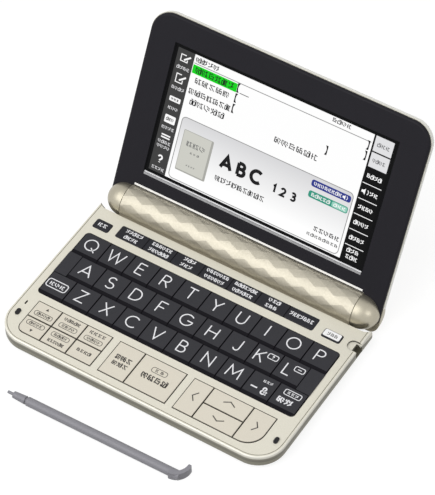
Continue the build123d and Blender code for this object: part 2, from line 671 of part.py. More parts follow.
def base_lower_case():
    """The tray under the board, with screw pillars, foot recesses and the stylus channel."""
    body = extrude(Pos(0, 0, BOTTOM_Z) * base_outline(0), PARTING_Z - BOTTOM_Z)
    body = fillet(body.faces().sort_by(Axis.Z)[0].edges(), BOTTOM_EDGE)
    hollow = extrude(Pos(0, 0, FLOOR_Z) * base_outline(LOWER_WALL), PARTING_Z)
    body = body - (hollow - block(-HALF_WIDTH, HALF_WIDTH, REAR_Y - CASE_WALL, EAR_Y + 1, 0, TOP_Z))
    for x, y in SCREW_PLACES:
        body = body + upright(PILLAR_RADIUS, x, y, BOTTOM_Z + FLOOR_THICKNESS / 2, PARTING_Z - 1)
        body = body - upright(SCREW_RADIUS + SCREW_ROOM, x, y, 0, PARTING_Z)
        body = body - upright(SCREW_HEAD_RADIUS + SCREW_ROOM, x, y, 0, BOTTOM_Z + SCREW_SEAT)
    for x, y in board_posts():
        body = body + upright(POST_RADIUS, x, y, FLOOR_Z - FLOOR_THICKNESS / 2, BOARD_Z)
    body = body + stylus_channel()
    body = body - stylus_space() - stylus_mouth()
    for x, y in foot_places():
        body = body - upright(FOOT_RADIUS, x, y, 0, BOTTOM_Z + FOOT_SINK)
    for cut in barrel_seat():
        body = body - cut
    save(body, "base_lower_case")


def board_posts():
    """The posts on the lower case that carry the board."""
    side = HALF_WIDTH - POST_FROM_SIDE
    rows = (FRONT_Y + POST_FROM_FRONT, REAR_SCREW_Y - POST_FROM_SCREW)
    return [(x, y) for x in (-side, 0, side) for y in rows]


def small_base_parts():
    """Feet and screws."""
    feet = [upright(FOOT_RADIUS, x, y, 0, BOTTOM_Z + FOOT_SINK) for x, y in foot_places()]
    save(group(chamfer(foot.faces().sort_by(Axis.Z)[0].edges(), FOOT_EDGE) for foot in feet), "rubber_feet")
    screws = []
    long_half = SCREW_SLOT / 2
    short_half = SCREW_SLOT_WIDTH / 2
    seat = BOTTOM_Z + SCREW_SEAT
    slot_top = seat - SCREW_HEAD_HEIGHT / 2
    for x, y in SCREW_PLACES:
        head = upright(SCREW_HEAD_RADIUS, x, y, seat - SCREW_HEAD_HEIGHT, seat)
        shank = upright(SCREW_RADIUS, x, y, seat, PLATE_Z - 2 * BOSS_ROOF)
        cross = block(x - long_half, x + long_half, y - short_half, y + short_half, 0, slot_top)
        cross = cross + block(x - short_half, x + short_half, y - long_half, y + long_half, 0, slot_top)
        screws.append(head + shank - cross)
    save(group(screws), "case_screws")


def inner_sheet(x_half, y0, y1, z0, z1):
    """A board or mat with clearance round the screw bosses."""
    sheet = block(-x_half, x_half, y0, y1, z0, z1)
    corner = FRONT_CORNER - CASE_WALL
    sheet = fillet(sheet.edges().filter_by(Axis.Z).group_by(Axis.Y)[0], corner)
    for x, y in SCREW_PLACES:
        sheet = sheet - upright(PILLAR_RADIUS + BOARD_ROOM, x, y, z0 - 1, z1 + 1)
    return sheet


def board_and_mat():
    """The circuit board with its main chips, and the rubber mat with the lid bumpers."""
    x_half = HALF_WIDTH - CASE_WALL - BOARD_MARGIN
    y0 = FRONT_Y + CASE_WALL + BOARD_FRONT_MARGIN
    y1 = SLOT_Y - STYLUS_RADIUS - SLOT_SIDE_ROOM - SLOT_WALL - BOARD_ROOM
    board = inner_sheet(x_half, y0, y1, BOARD_Z, MAT_Z)
    chip_y = (y0 + y1) / 2
    for x, width, depth in ((0, PROCESSOR_WIDTH, PROCESSOR_DEPTH),
                            (PROCESSOR_WIDTH + MEMORY_WIDTH / 2, MEMORY_WIDTH, MEMORY_DEPTH)):
        board = board + block(x - width / 2, x + width / 2, chip_y - depth / 2, chip_y + depth / 2,
                              BOARD_Z - CHIP_HEIGHT, BOARD_Z)
    save(board, "main_board")
    mat_top = MAT_Z + MAT_THICKNESS
    mat = inner_sheet(x_half, y0, y1, MAT_Z, mat_top)
    pad = DOME_PAD / 2
    for x, y, low in plunger_places():
        mat = mat + block(x - pad, x + pad, y - pad, y + pad, mat_top, low - KEY_TRAVEL - PAD_ROOM)
    half = BUMPER_FOOT / 2
    y = FRONT_Y + BUMPER_FROM_FRONT
    for x in (-BUMPER_X, BUMPER_X):
        foot = block(x - half, x + half, y - BUMPER_LENGTH / 2, y + BUMPER_LENGTH / 2, MAT_Z, mat_top)
        mat = mat + bumper(x, mat_top) + foot
    save(mat, "key_mat")


# ---------------------------------------------------------------- barrel

def faceted_bar(radius, half_length):
    """A bar with a diamond lattice of triangles: each diamond is folded along the bar's girth."""
    period = 2 * half_length / BARREL_PERIODS
    turn = 2 * math.pi / BARREL_ROWS

    def point(row, x):
        angle = row * turn
        return (x, radius * math.sin(angle), radius * math.cos(angle))

    faces = []
    for row in range(BARREL_ROWS):
        odd = row % 2
        count = BARREL_PERIODS + 1 if odd else BARREL_PERIODS
        for i in range(count):
            middle = -half_length + (i if odd else i + 0.5) * period
            above = point(row - 1, middle)
            below = point(row + 1, middle)
            if i > 0 or not odd:
                faces.append((above, below, point(row, middle - period / 2)))
            if i < BARREL_PERIODS or not odd:
                faces.append((below, above, point(row, middle + period / 2)))
    ends = []
    for x in (-half_length, half_length):
        ends.append([point(row, x) for row in range(0, BARREL_ROWS, 2)])
    shells = [Face(Wire.make_polygon([Vector(*p) for p in corners])) for corners in faces + ends]
    return Solid(Shell(shells))


def hinge_barrel():
    """The faceted tube that holds the batteries, with its saddle and its lower door opening."""
    place = Pos(0, AXIS_Y, AXIS_Z)
    bar = place * faceted_bar(BARREL_RADIUS, BARREL_HALF)
    saddle = block(-BARREL_HALF, BARREL_HALF, REAR_Y, AXIS_Y, BOTTOM_Z, TOP_Z - SADDLE_DROP)
    cavity = rod_x(BARREL_INNER, -CAVITY_HALF, CAVITY_HALF, AXIS_Y, AXIS_Z)
    well_y = AXIS_Y - BARREL_INNER - WELL_ROOM
    well = block(-CAVITY_HALF, CAVITY_HALF, well_y, AXIS_Y, -1, AXIS_Z)
    door_half = CAVITY_HALF + COVER_GAP
    door = block(-door_half, door_half, well_y, AXIS_Y + 2 * BARREL_RADIUS,
                 -1, BARREL_LIFT + COVER_EDGE_RISE + COVER_GAP)
    tube = bar + saddle - cavity - well - door
    seat = rod_x(PIN_RADIUS, BARREL_HALF - PIN_GRIP, BARREL_HALF, AXIS_Y, AXIS_Z)
    save(tube - seat - mirror(seat, Plane.YZ), "hinge_barrel")

    shell = bar & block(-CAVITY_HALF, CAVITY_HALF, AXIS_Y, AXIS_Y + 2 * BARREL_RADIUS, -1,
                        BARREL_LIFT + COVER_EDGE_RISE)
    shell = shell - rod_x(BARREL_INNER, -CAVITY_HALF - 1, CAVITY_HALF + 1, AXIS_Y, AXIS_Z)
    plate = block(-CAVITY_HALF, CAVITY_HALF, well_y + COVER_GAP, AXIS_Y + 1,
                  BARREL_LIFT + COVER_LIFT, BARREL_LIFT + COVER_FLOOR)
    save(shell + plate, "battery_cover")


def batteries():
    """Two cylindrical cells end to end, with the contacts at the barrel's ends."""
    cells = []
    for left in (-BATTERY_LENGTH, 0):
        body_end = left + BATTERY_LENGTH - BATTERY_NUB_LENGTH
        cell = rod_x(BATTERY_RADIUS, left, body_end, AXIS_Y, AXIS_Z)
        cell = chamfer(cell.edges(), CELL_EDGE)
        nub = rod_x(BATTERY_NUB_RADIUS, body_end - CELL_EDGE, body_end + BATTERY_NUB_LENGTH, AXIS_Y, AXIS_Z)
        cells.append(cell + nub)
    save(group(cells), "batteries")
    plate = rod_x(CONTACT_RADIUS, CAVITY_HALF - CONTACT_THICKNESS, CAVITY_HALF, AXIS_Y, AXIS_Z)
    spring = rod_x(SPRING_RADIUS, BATTERY_LENGTH, CAVITY_HALF - CONTACT_THICKNESS, AXIS_Y, AXIS_Z)
    contact = plate + spring
    save(group([contact, mirror(contact, Plane.YZ)]), "battery_contacts")


def hinge_pins():
    """The two steel friction pins that carry the lid's knuckles."""
    pin = rod_x(PIN_RADIUS, BARREL_HALF - PIN_GRIP, BARREL_HALF + PIN_REACH, AXIS_Y, AXIS_Z)
    save(group([pin, mirror(pin, Plane.YZ)]), "hinge_pins")


# ---------------------------------------------------------------- lid

def lid_outline(inset, foot):
    """The lid seen from its face, down to a given distance from the hinge axis."""
    half = LID_HALF - inset
    top = LID_TOP - inset
    sketch = Pos(0, (top + foot) / 2) * Rectangle(2 * half, top - foot)
    sketch = fillet(sketch.vertices().group_by(Axis.Y)[-1], LID_CORNER - inset)
    return fillet(sketch.vertices().group_by(Axis.Y)[0], CHEEK_CORNER)


def knuckle(grow):
    """The half-ellipsoid knuckle at each end of the barrel."""
    radius = KNUCKLE_RADIUS + grow
    length = KNUCKLE_LENGTH + grow
    dome_x = KNUCKLE_X + KNUCKLE_STRAIGHT
    face = make_face([
        Line((KNUCKLE_X, 0), (KNUCKLE_X, radius)),
        Line((KNUCKLE_X, radius), (dome_x, radius)),
        EllipticalCenterArc((dome_x, 0), length - KNUCKLE_STRAIGHT, radius, arc_size=90),
        Line((KNUCKLE_X + length, 0), (KNUCKLE_X, 0)),
    ])
    right = revolve(face, Axis.X, 360)
    return right, mirror(right, Plane.YZ)


def barrel_room():
    """The space between the knuckles that the lid leaves for the barrel."""
    reach = 2 * BARREL_RADIUS
    return block(-KNUCKLE_X, KNUCKLE_X, -reach, LID_FOOT, -reach, reach)


def sloped_window():
    """The bezel's window above the glass, whose edges slope inwards at the sides and the top."""
    half = OPENING_HALF - WINDOW_SLOPE
    high = OPENING_HIGH - WINDOW_SLOPE
    sides = along_y([(-half, -SCREEN_RECESS), (half, -SCREEN_RECESS), (OPENING_HALF, 0), (OPENING_HALF, 1),
                     (-OPENING_HALF, 1), (-OPENING_HALF, 0)], OPENING_LOW, OPENING_HIGH)
    top = along_x([(OPENING_LOW, -SCREEN_RECESS), (high, -SCREEN_RECESS), (OPENING_HIGH, 0),
                   (OPENING_HIGH, 1), (OPENING_LOW, 1)], -OPENING_HALF, OPENING_HALF)
    return sides & top


def lid_bezel():
    """The dark frame round the display, with a lip seat below the screen."""
    plate = extrude(Pos(0, 0, -BEZEL_THICKNESS) * lid_outline(BEZEL_INSET, -CHEEK_DROP), BEZEL_THICKNESS)
    plate = fillet(plate.faces().sort_by(Axis.Z)[-1].edges(), BEZEL_EDGE)
    glass_top = WINDOW_GAP - SCREEN_RECESS
    under = block(-OPENING_HALF, OPENING_HALF, OPENING_LOW, OPENING_HIGH, -LID_THICKNESS, glass_top)
    lip_half = OPENING_HALF - LIP_INSET
    lip = block(-lip_half, lip_half, OPENING_LOW - LIP_WIDTH, OPENING_LOW + 1, -SCREEN_RECESS, 1)
    trim_half = KNUCKLE_X - TRIM_INSET
    trim = block(-trim_half, trim_half, LID_FOOT - 1, LID_FOOT + TRIM_WIDTH, -TRIM_DEPTH, 1)
    plate = plate - under - sloped_window() - lip - trim - barrel_room()
    for solid in knuckle(KNUCKLE_SEAM):
        plate = plate - solid
    save(place_lid(plate), "lid_bezel")


def lid_trims():
    """The silver lip under the screen and the pale strip along the lid's lower edge."""
    low = OPENING_LOW - LIP_WIDTH
    step = low + LIP_LEDGE
    ridge = step + LIP_GROOVE
    lip_half = OPENING_HALF - LIP_INSET
    lip = along_x([(low, -SCREEN_RECESS), (OPENING_LOW, -SCREEN_RECESS), (OPENING_LOW, -2 * LIP_RIDGE_DROP),
                   (ridge, -LIP_RIDGE_DROP), (ridge, -LIP_GROOVE_DEPTH), (step, -LIP_GROOVE_DEPTH),
                   (step, LIP_PROUD), (low, LIP_PROUD)], -lip_half, lip_half)
    trim_half = KNUCKLE_X - TRIM_INSET
    strip = block(-trim_half, trim_half, LID_FOOT, LID_FOOT + TRIM_WIDTH, -TRIM_DEPTH, TRIM_PROUD)
    save(place_lid(group([lip, strip])), "lid_trims")


def display_panel():
    """The glass and the display module behind it."""
    half = OPENING_HALF - GLASS_GAP
    glass = block(-half, half, OPENING_LOW + GLASS_GAP, OPENING_HIGH - GLASS_GAP,
                  -SCREEN_RECESS - GLASS_THICKNESS, -SCREEN_RECESS)
    save(place_lid(glass + module_block(0)), "display_panel")


def module_block(room):
    """The display module's box, or its pocket when given some room."""
    half = OPENING_HALF + MODULE_FLANGE + room
    low = OPENING_LOW - LIP_WIDTH - MODULE_LOW_FLANGE - room
    return block(-half, half, low, OPENING_HIGH + MODULE_FLANGE + room, -BEZEL_THICKNESS - MODULE_THICKNESS,
                 -BEZEL_THICKNESS)


def lid_cover():
    """The champagne back cover with its display pocket, its cheeks and the two knuckles."""
    depth = LID_THICKNESS - BEZEL_THICKNESS
    slab = extrude(Pos(0, 0, -LID_THICKNESS) * lid_outline(0, 0), depth)
    rim = slab.faces().sort_by(Axis.Z)[0].edges().filter_by(lambda e: e.center().Y > CHEEK_CORNER)
    slab = fillet(rim, LID_BACK_EDGE)
    right, left = cheek_profile(0)
    reach = 2 * BARREL_RADIUS
    inner = block(-HALF_WIDTH, HALF_WIDTH, -reach, reach, -reach, -BEZEL_THICKNESS)
    body = slab + (right & inner) + (left & inner) - barrel_room() - module_block(MODULE_GAP)
    for solid in knuckle(0):
        body = body + solid
    bore = rod_x(PIN_RADIUS + PIN_CLEARANCE, KNUCKLE_X - 1, BARREL_HALF + PIN_REACH + PIN_END_ROOM)
    body = body - bore - mirror(bore, Plane.YZ)
    save(place_lid(body), "lid_cover")


# ---------------------------------------------------------------- stylus

def stylus():
    """The stylus lying in front: point, nose, ring groove, shaft and a bent hook for the finger."""
    end = STYLUS_LENGTH
    r = STYLUS_RADIUS
    nose = STYLUS_POINT_LENGTH + STYLUS_NOSE_LENGTH
    shaft_x = nose + STYLUS_GROOVE
    hook_x = end - STYLUS_HOOK_LENGTH
    groove = r - STYLUS_GROOVE_DEPTH
    outline = make_face(Polyline(
        (0, 0), (0, STYLUS_POINT_RADIUS), (STYLUS_POINT_LENGTH, STYLUS_POINT_RADIUS),
        (STYLUS_POINT_LENGTH, STYLUS_NECK_RADIUS), (nose, STYLUS_NOSE_RADIUS), (nose, groove),
        (shaft_x, groove), (shaft_x, r - STYLUS_SHAFT_EDGE), (shaft_x + STYLUS_SHAFT_EDGE, r),
        (end - STYLUS_HOOK_BEND, r), (end - STYLUS_HOOK_BEND, 0), close=True))
    shaft = revolve(outline, Axis.X, 360)
    inner_end = end - STYLUS_HOOK_THICKNESS
    outer_bend = (end - STYLUS_HOOK_BEND, -STYLUS_HOOK_SAG)
    inner_bend = (end - STYLUS_HOOK_BEND - STYLUS_HOOK_THICKNESS, STYLUS_HOOK_SAG)
    start = (hook_x, -r - STYLUS_HOOK_BACK)
    start_inner = (hook_x + STYLUS_HOOK_BACK, -r + STYLUS_HOOK_THICKNESS)
    hook = make_face([
        ThreePointArc(start, outer_bend, (end, STYLUS_HOOK_REACH)),
        Line((end, STYLUS_HOOK_REACH), (inner_end, STYLUS_HOOK_REACH)),
        ThreePointArc((inner_end, STYLUS_HOOK_REACH), inner_bend, start_inner),
        Line(start_inner, start),
    ])
    hook = extrude(hook, r, both=True)
    rounded = hook.edges().filter_by(Axis.Z)
    hook = fillet(rounded, STYLUS_HOOK_THICKNESS / 3)
    turned = Rot(0, 0, STYLUS_TURN_DEG) * (shaft + hook)
    save(Pos(STYLUS_LEFT_X, STYLUS_Y, r) * turned, "stylus")


letter_keys()
function_keys()
soft_keys()
base_upper_case()
base_lower_case()
small_base_parts()
board_and_mat()
hinge_barrel()
batteries()
hinge_pins()
lid_bezel()
lid_trims()
display_panel()
lid_cover()
stylus()
print(len(written), "sub-parts written")
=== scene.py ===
import json
import math
import random

import bmesh
import bpy
from mathutils import Matrix, Vector

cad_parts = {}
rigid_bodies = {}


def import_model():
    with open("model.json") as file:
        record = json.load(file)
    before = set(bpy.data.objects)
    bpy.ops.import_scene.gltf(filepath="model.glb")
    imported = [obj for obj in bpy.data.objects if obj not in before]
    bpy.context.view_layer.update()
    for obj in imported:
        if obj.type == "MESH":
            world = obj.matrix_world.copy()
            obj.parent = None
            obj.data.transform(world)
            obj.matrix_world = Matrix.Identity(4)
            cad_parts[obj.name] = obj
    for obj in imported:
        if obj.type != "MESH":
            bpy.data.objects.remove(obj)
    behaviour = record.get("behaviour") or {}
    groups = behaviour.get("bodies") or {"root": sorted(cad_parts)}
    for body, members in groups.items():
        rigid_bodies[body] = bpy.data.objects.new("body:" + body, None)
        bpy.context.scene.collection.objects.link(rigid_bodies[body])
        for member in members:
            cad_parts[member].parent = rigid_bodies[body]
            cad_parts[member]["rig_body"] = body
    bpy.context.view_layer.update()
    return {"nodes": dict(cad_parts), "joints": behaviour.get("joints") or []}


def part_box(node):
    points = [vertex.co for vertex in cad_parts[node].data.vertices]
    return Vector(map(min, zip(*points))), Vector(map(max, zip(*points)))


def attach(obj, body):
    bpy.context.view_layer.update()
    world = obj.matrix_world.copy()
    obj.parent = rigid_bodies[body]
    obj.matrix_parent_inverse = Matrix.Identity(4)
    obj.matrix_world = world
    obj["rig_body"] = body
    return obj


# An electronic dictionary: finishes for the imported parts, printed legends, the lit display and a studio.
# Lengths are in millimetres, apart from the hinge's place and the lamps' places and sizes, in metres.
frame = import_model()
NODES = frame["nodes"]
MM = 0.001


def limits(node):
    """A node's lowest and highest corners, in millimetres."""
    low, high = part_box(node)
    return low / MM, high / MM


# The lid's own frame: X along the hinge, Y away from it, Z out of the display's face
HINGE = next(joint for joint in frame["joints"] if joint["name"] == "lid_hinge")
HINGE_PLACE = Vector(HINGE["pos_m"])
# The lid's turn about X, when it is closed and in the photograph
CLOSED_TURN = 180
LID_TURN = CLOSED_TURN + HINGE["range_deg"][0]
LID = Matrix.Translation(HINGE_PLACE) @ Matrix.Rotation(math.radians(LID_TURN), 4, "X")
# The display is drawn in the same frame, set a little further from the hinge
PICTURE_SHIFT = 0.6
PICTURE = LID @ Matrix.Translation((0, PICTURE_SHIFT * MM, 0))
UPRIGHT = Matrix.Identity(4)


# -------- materials

# Most of a noise's values lie between these two
NOISE_LOW, NOISE_HIGH = 0.3, 0.7
# Values of the grain at which a paint's flakes set in and are full
FLAKE_START, FLAKE_FULL = 0.3, 0.75
GRAIN_MM, GRAIN_HEIGHT = 0.28, 0.004
PAINT_SHEEN_SIZE = 9.0
MOULDED_SHEEN_SIZE = 6.0

# A Mix node lists the sockets of all kinds of data, so the ones in use are called by number
MIX_FACTOR = 0
VECTOR_A, VECTOR_B, VECTOR_OUT = 4, 5, 1
COLOUR_A, COLOUR_B, COLOUR_OUT = 6, 7, 2


def srgb(red, green, blue):
    """A colour given as it looks on a display, 0 to 255, in linear values by the sRGB curve."""
    def linear(value):
        value /= 255
        return value / 12.92 if value <= 0.04045 else ((value + 0.055) / 1.055) ** 2.4
    return (linear(red), linear(green), linear(blue), 1.0)


def set_inputs(node, values):
    """Set a node's inputs by name, with underscores for the spaces."""
    for name, value in values.items():
        node.inputs[name.replace("_", " ")].default_value = value


class Tree:
    """The nodes of a material or of the room."""

    def __init__(self, owner):
        owner.use_nodes = True
        self.nodes = owner.node_tree.nodes
        self.links = owner.node_tree.links

    def node(self, kind, **values):
        """A new node with some of its inputs set."""
        node = self.nodes.new(kind)
        set_inputs(node, values)
        return node

    def spread(self, value, low, high, low_out=0.0, high_out=1.0):
        """A value carried from one range to another and held at its ends."""
        spread = self.node("ShaderNodeMapRange", From_Min=low, From_Max=high, To_Min=low_out, To_Max=high_out)
        self.links.new(value, spread.inputs["Value"])
        return spread.outputs["Result"]

    def part(self, vector, axis):
        """One of a vector's three numbers."""
        split = self.node("ShaderNodeSeparateXYZ")
        self.links.new(vector, split.inputs["Vector"])
        return split.outputs[axis]

    def vector(self, operation, first, second=(0, 0, 0)):
        """A vector worked out from another and a fixed one."""
        node = self.node("ShaderNodeVectorMath")
        node.operation = operation
        self.links.new(first, node.inputs[0])
        node.inputs[1].default_value = second
        return node.outputs["Vector"]

    def tones(self, fac, *stops):
        """A colour that runs through stops, pairs of place and colour, as fac rises."""
        ramp = self.node("ShaderNodeValToRGB")
        elements = ramp.color_ramp.elements
        for i, (place, colour) in enumerate(stops):
            element = elements[i] if i < 2 else elements.new(1.0)
            element.position = place
            element.color = colour
        self.links.new(fac, ramp.inputs["Fac"])
        return ramp.outputs["Color"]

    def backdrop_rays(self):
        """1 for rays that see the background: straight on, mirrored or through glass."""
        path = self.node("ShaderNodeLightPath")
        total = path.outputs["Is Camera Ray"]
        for name in ("Is Glossy Ray", "Is Transmission Ray"):
            larger = self.node("ShaderNodeMath")
            larger.operation = "MAXIMUM"
            self.links.new(total, larger.inputs[0])
            self.links.new(path.outputs[name], larger.inputs[1])
            total = larger.outputs["Value"]
        return total


class Material(Tree):
    """A Principled material whose colour, roughness and bump come from noise at a real size."""

    def __init__(self, name):
        self.data = bpy.data.materials.new(name)
        super().__init__(self.data)
        self.shader = self.nodes["Principled BSDF"]
        self.place = self.node("ShaderNodeTexCoord").outputs["Object"]

    def set(self, **values):
        """Set inputs of the shader."""
        set_inputs(self.shader, values)

    def feed(self, name, output):
        """Take an input of the shader from another node."""
        self.links.new(output, self.shader.inputs[name])

    def noise(self, size_mm, detail=2.0, stretch=(1, 1, 1)):
        """Noise whose grains are about size_mm across."""
        mapping = self.node("ShaderNodeMapping", Scale=stretch)
        self.links.new(self.place, mapping.inputs["Vector"])
        noise = self.node("ShaderNodeTexNoise", Scale=1 / (size_mm * MM), Detail=detail)
        self.links.new(mapping.outputs["Vector"], noise.inputs["Vector"])
        return noise.outputs["Fac"]

    def colours(self, fac, first, second, low=0.35, high=0.65):
        """Base colour that runs from first to second as fac rises."""
        self.feed("Base Color", self.tones(fac, (low, first), (high, second)))

    def roughness(self, fac, low, high):
        """Roughness between two values."""
        self.feed("Roughness", self.spread(fac, NOISE_LOW, NOISE_HIGH, low, high))

    def bump(self, fac, height_mm, strength=1.0):
        """Bump of about that height."""
        bump = self.node("ShaderNodeBump", Strength=strength, Distance=height_mm * MM)
        self.links.new(fac, bump.inputs["Height"])
        self.feed("Normal", bump.outputs["Normal"])


def satin(mat, grain, metallic, roughness, height_mm):
    """Give a material the sheen of satin paint over its grain."""
    mat.roughness(mat.noise(PAINT_SHEEN_SIZE), roughness - 0.04, roughness + 0.05)
    mat.bump(grain, height_mm, strength=0.6)
    mat.set(Metallic=metallic)
    return mat.data


def paint(name, colour, flake, metallic, roughness, grain_mm=GRAIN_MM, height_mm=GRAIN_HEIGHT):
    """Satin paint with fine metal flakes."""
    mat = Material(name)
    grain = mat.noise(grain_mm, detail=3.0)
    mat.colours(grain, colour, flake, FLAKE_START, FLAKE_FULL)
    return satin(mat, grain, metallic, roughness, height_mm)


def moulded(name, colour, lighter, roughness, grain_mm=0.22, height_mm=0.006, specular=0.45):
    """Moulded plastic with a spark-eroded grain."""
    mat = Material(name)
    grain = mat.noise(grain_mm)
    mat.colours(grain, colour, lighter, low=0.25, high=0.8)
    mat.roughness(mat.noise(MOULDED_SHEEN_SIZE), roughness - 0.05, roughness + 0.05)
    mat.bump(grain, height_mm, strength=0.5)
    mat.set(Specular_IOR_Level=specular)
    return mat.data


def brushed(name, colour, darker, roughness, stretch):
    """Metal with fine brush lines along one axis."""
    mat = Material(name)
    lines = mat.noise(0.12, stretch=stretch)
    mat.colours(lines, darker, colour, low=0.3, high=0.7)
    mat.roughness(lines, roughness - 0.06, roughness + 0.08)
    mat.bump(lines, height_mm=0.003, strength=0.4)
    mat.set(Metallic=0.85)
    return mat.data


def ink(name, colour, worn, roughness=0.5):
    """Printed ink with slightly uneven cover."""
    mat = Material(name)
    mat.colours(mat.noise(0.35), worn, colour, low=0.2, high=0.5)
    mat.roughness(mat.noise(1.2, detail=1.0), roughness - 0.05, roughness + 0.05)
    return mat.data


def edge_paint(name, tones, metallic, roughness):
    """Satin paint with painted light and shade that run with the height above the table: pairs of height and
    colour.
    """
    mat = Material(name)
    low, high = tones[0][0], tones[-1][0]
    stops = [((height - low) / (high - low), colour) for height, colour in tones]
    rise = mat.spread(mat.part(mat.place, "Z"), low * MM, high * MM)
    mat.feed("Base Color", mat.tones(rise, *stops))
    return satin(mat, mat.noise(GRAIN_MM, detail=3.0), metallic, roughness, GRAIN_HEIGHT)


# Painted shade darkens the barrel's coat where its curve faces forward, between these two values, down at the
# ledge
LEDGE_START, LEDGE_FULL = -0.8, -0.99
LEDGE_SHADE = (0.68, 0.67, 0.65, 1)


def facet_paint(name, colour, flake, metallic, roughness, roundness):
    """Satin paint on the barrel's facets, whose shading leans toward the barrel's own curve, with painted
    shade down at the ledge.
    """
    mat = Material(name)
    mat.roughness(mat.noise(PAINT_SHEEN_SIZE), roughness - 0.03, roughness + 0.04)
    mat.set(Metallic=metallic)
    from_hinge = mat.vector("SUBTRACT", mat.place, HINGE_PLACE)
    across = mat.vector("MULTIPLY", from_hinge, (0, 1, 1))
    curve = mat.vector("NORMALIZE", across)

    # Painted shade: the coat is multiplied darker down at the ledge
    shade = mat.node("ShaderNodeMix")
    shade.data_type = "RGBA"
    shade.blend_type = "MULTIPLY"
    coat = mat.tones(mat.noise(0.8, detail=3.0), (FLAKE_START, colour), (FLAKE_FULL, flake))
    mat.links.new(mat.spread(mat.part(curve, "Y"), LEDGE_START, LEDGE_FULL), shade.inputs[MIX_FACTOR])
    mat.links.new(coat, shade.inputs[COLOUR_A])
    shade.inputs[COLOUR_B].default_value = LEDGE_SHADE
    mat.feed("Base Color", shade.outputs[COLOUR_OUT])

    flat = mat.node("ShaderNodeNewGeometry")
    blend = mat.node("ShaderNodeMix")
    blend.data_type = "VECTOR"
    blend.inputs[MIX_FACTOR].default_value = roundness
    mat.links.new(flat.outputs["Normal"], blend.inputs[VECTOR_A])
    mat.links.new(curve, blend.inputs[VECTOR_B])
    mat.feed("Normal", blend.outputs[VECTOR_OUT])
    return mat.data


# The wave texture's size; its lines then lie about 0.28 mm apart
LINE_SIZE = 0.9


def lit_base(name):
    """The dark, hardly shining face of the display under its own light."""
    mat = Material(name)
    mat.set(Base_Color=(0.004, 0.004, 0.004, 1), Roughness=0.3, Specular_IOR_Level=0.06)
    mat.set(Emission_Strength=1.0)
    return mat


def lit(name, colour, dimming=0.03):
    """A lit area of the display, with faint darker lines across it."""
    mat = lit_base(name)
    dimmer = tuple(c * (1 - dimming) for c in colour[:3]) + (1.0,)
    wave = mat.node("ShaderNodeTexWave", Scale=1 / (LINE_SIZE * MM))
    mat.links.new(mat.place, wave.inputs["Vector"])
    mat.feed("Emission Color", mat.tones(wave.outputs["Fac"], (0.0, dimmer), (1.0, colour)))
    return mat.data


PANEL_GREY_FOOT, PANEL_GREY_HEAD = 24, 51


def gradient_grey():
    """The lit panel behind the headline: grey at its top, white below."""
    mat = lit_base("screen_panel_grey")
    foot = PICTURE @ Vector((0, PANEL_GREY_FOOT * MM, 0))
    head = PICTURE @ Vector((0, PANEL_GREY_HEAD * MM, 0))
    rise = mat.spread(mat.part(mat.place, "Z"), foot.z, head.z)
    mat.feed("Emission Color", mat.tones(rise, (0.0, srgb(255, 255, 255)), (1.0, srgb(214, 214, 216))))
    return mat.data


# Paint: colour, flakes, metallic, roughness, size and height of the grain
CHAMPAGNE = paint("champagne_paint", srgb(221, 217, 201), srgb(231, 227, 213), 0.25, 0.42)
SOFT_KEY = paint("champagne_key", srgb(216, 209, 193), srgb(227, 221, 206), 0.15, 0.46)
# The lower case: its own darker paint, deepened further as painted shade on its front and sides, which face
# away from the light
BRONZE_AND_SHADE = paint("bronze_paint_and_shade", srgb(126, 123, 108), srgb(142, 139, 124), 0.35, 0.42)
# Painted shade on the barrel's ledge along the deck
BARREL_FOOT = paint("barrel_foot_painted_shade", srgb(136, 130, 114), srgb(148, 142, 126), 0.5, 0.4, 0.2, 0.003)
KNUCKLE = paint("knuckle_paint", srgb(172, 166, 149), srgb(184, 178, 161), 0.85, 0.38, 0.2, 0.003)
# Painted shade for the soft keys' bevels that face away from the light
KEY_EDGE_SHADE = paint("key_edge_shade", srgb(88, 83, 72), srgb(98, 93, 81), 0.0, 0.6)
# Painted shade in the fine groove round the deck
GROOVE = paint("groove_shade", srgb(150, 146, 128), srgb(164, 160, 142), 0.0, 0.5)
# Painted highlight on the lid's outer rim
RIM = paint("rim_painted_highlight", srgb(238, 237, 229), srgb(246, 245, 238), 0.25, 0.4)
PALE_STRIP = paint("pale_strip", srgb(250, 249, 245), srgb(254, 253, 250), 0.2, 0.35, 0.5, 0.001)
# Painted highlight along the upper case's rounded top edge, and painted shade down its side below it: pairs
# of height and colour
CASE_SIDE_TONES = (
    (3.6, srgb(102, 99, 88)),
    (5.4, srgb(115, 112, 100)),
    (6.5, srgb(136, 133, 119)),
    (7.0, srgb(220, 217, 204)),
    (8.3, srgb(240, 237, 226)),
)
CASE_SIDE = edge_paint("case_side_painted_light_and_shade", CASE_SIDE_TONES, metallic=0.3, roughness=0.42)
BARREL = facet_paint("barrel_paint", srgb(184, 178, 161), srgb(194, 188, 172), 0.57, 0.39, roundness=0.4)

# Plastic and rubber: colour, lighter colour, roughness, size and height of the grain, shine
KEY_DARK = moulded("key_charcoal", srgb(50, 50, 54), srgb(58, 58, 62), 0.5, specular=0.15)
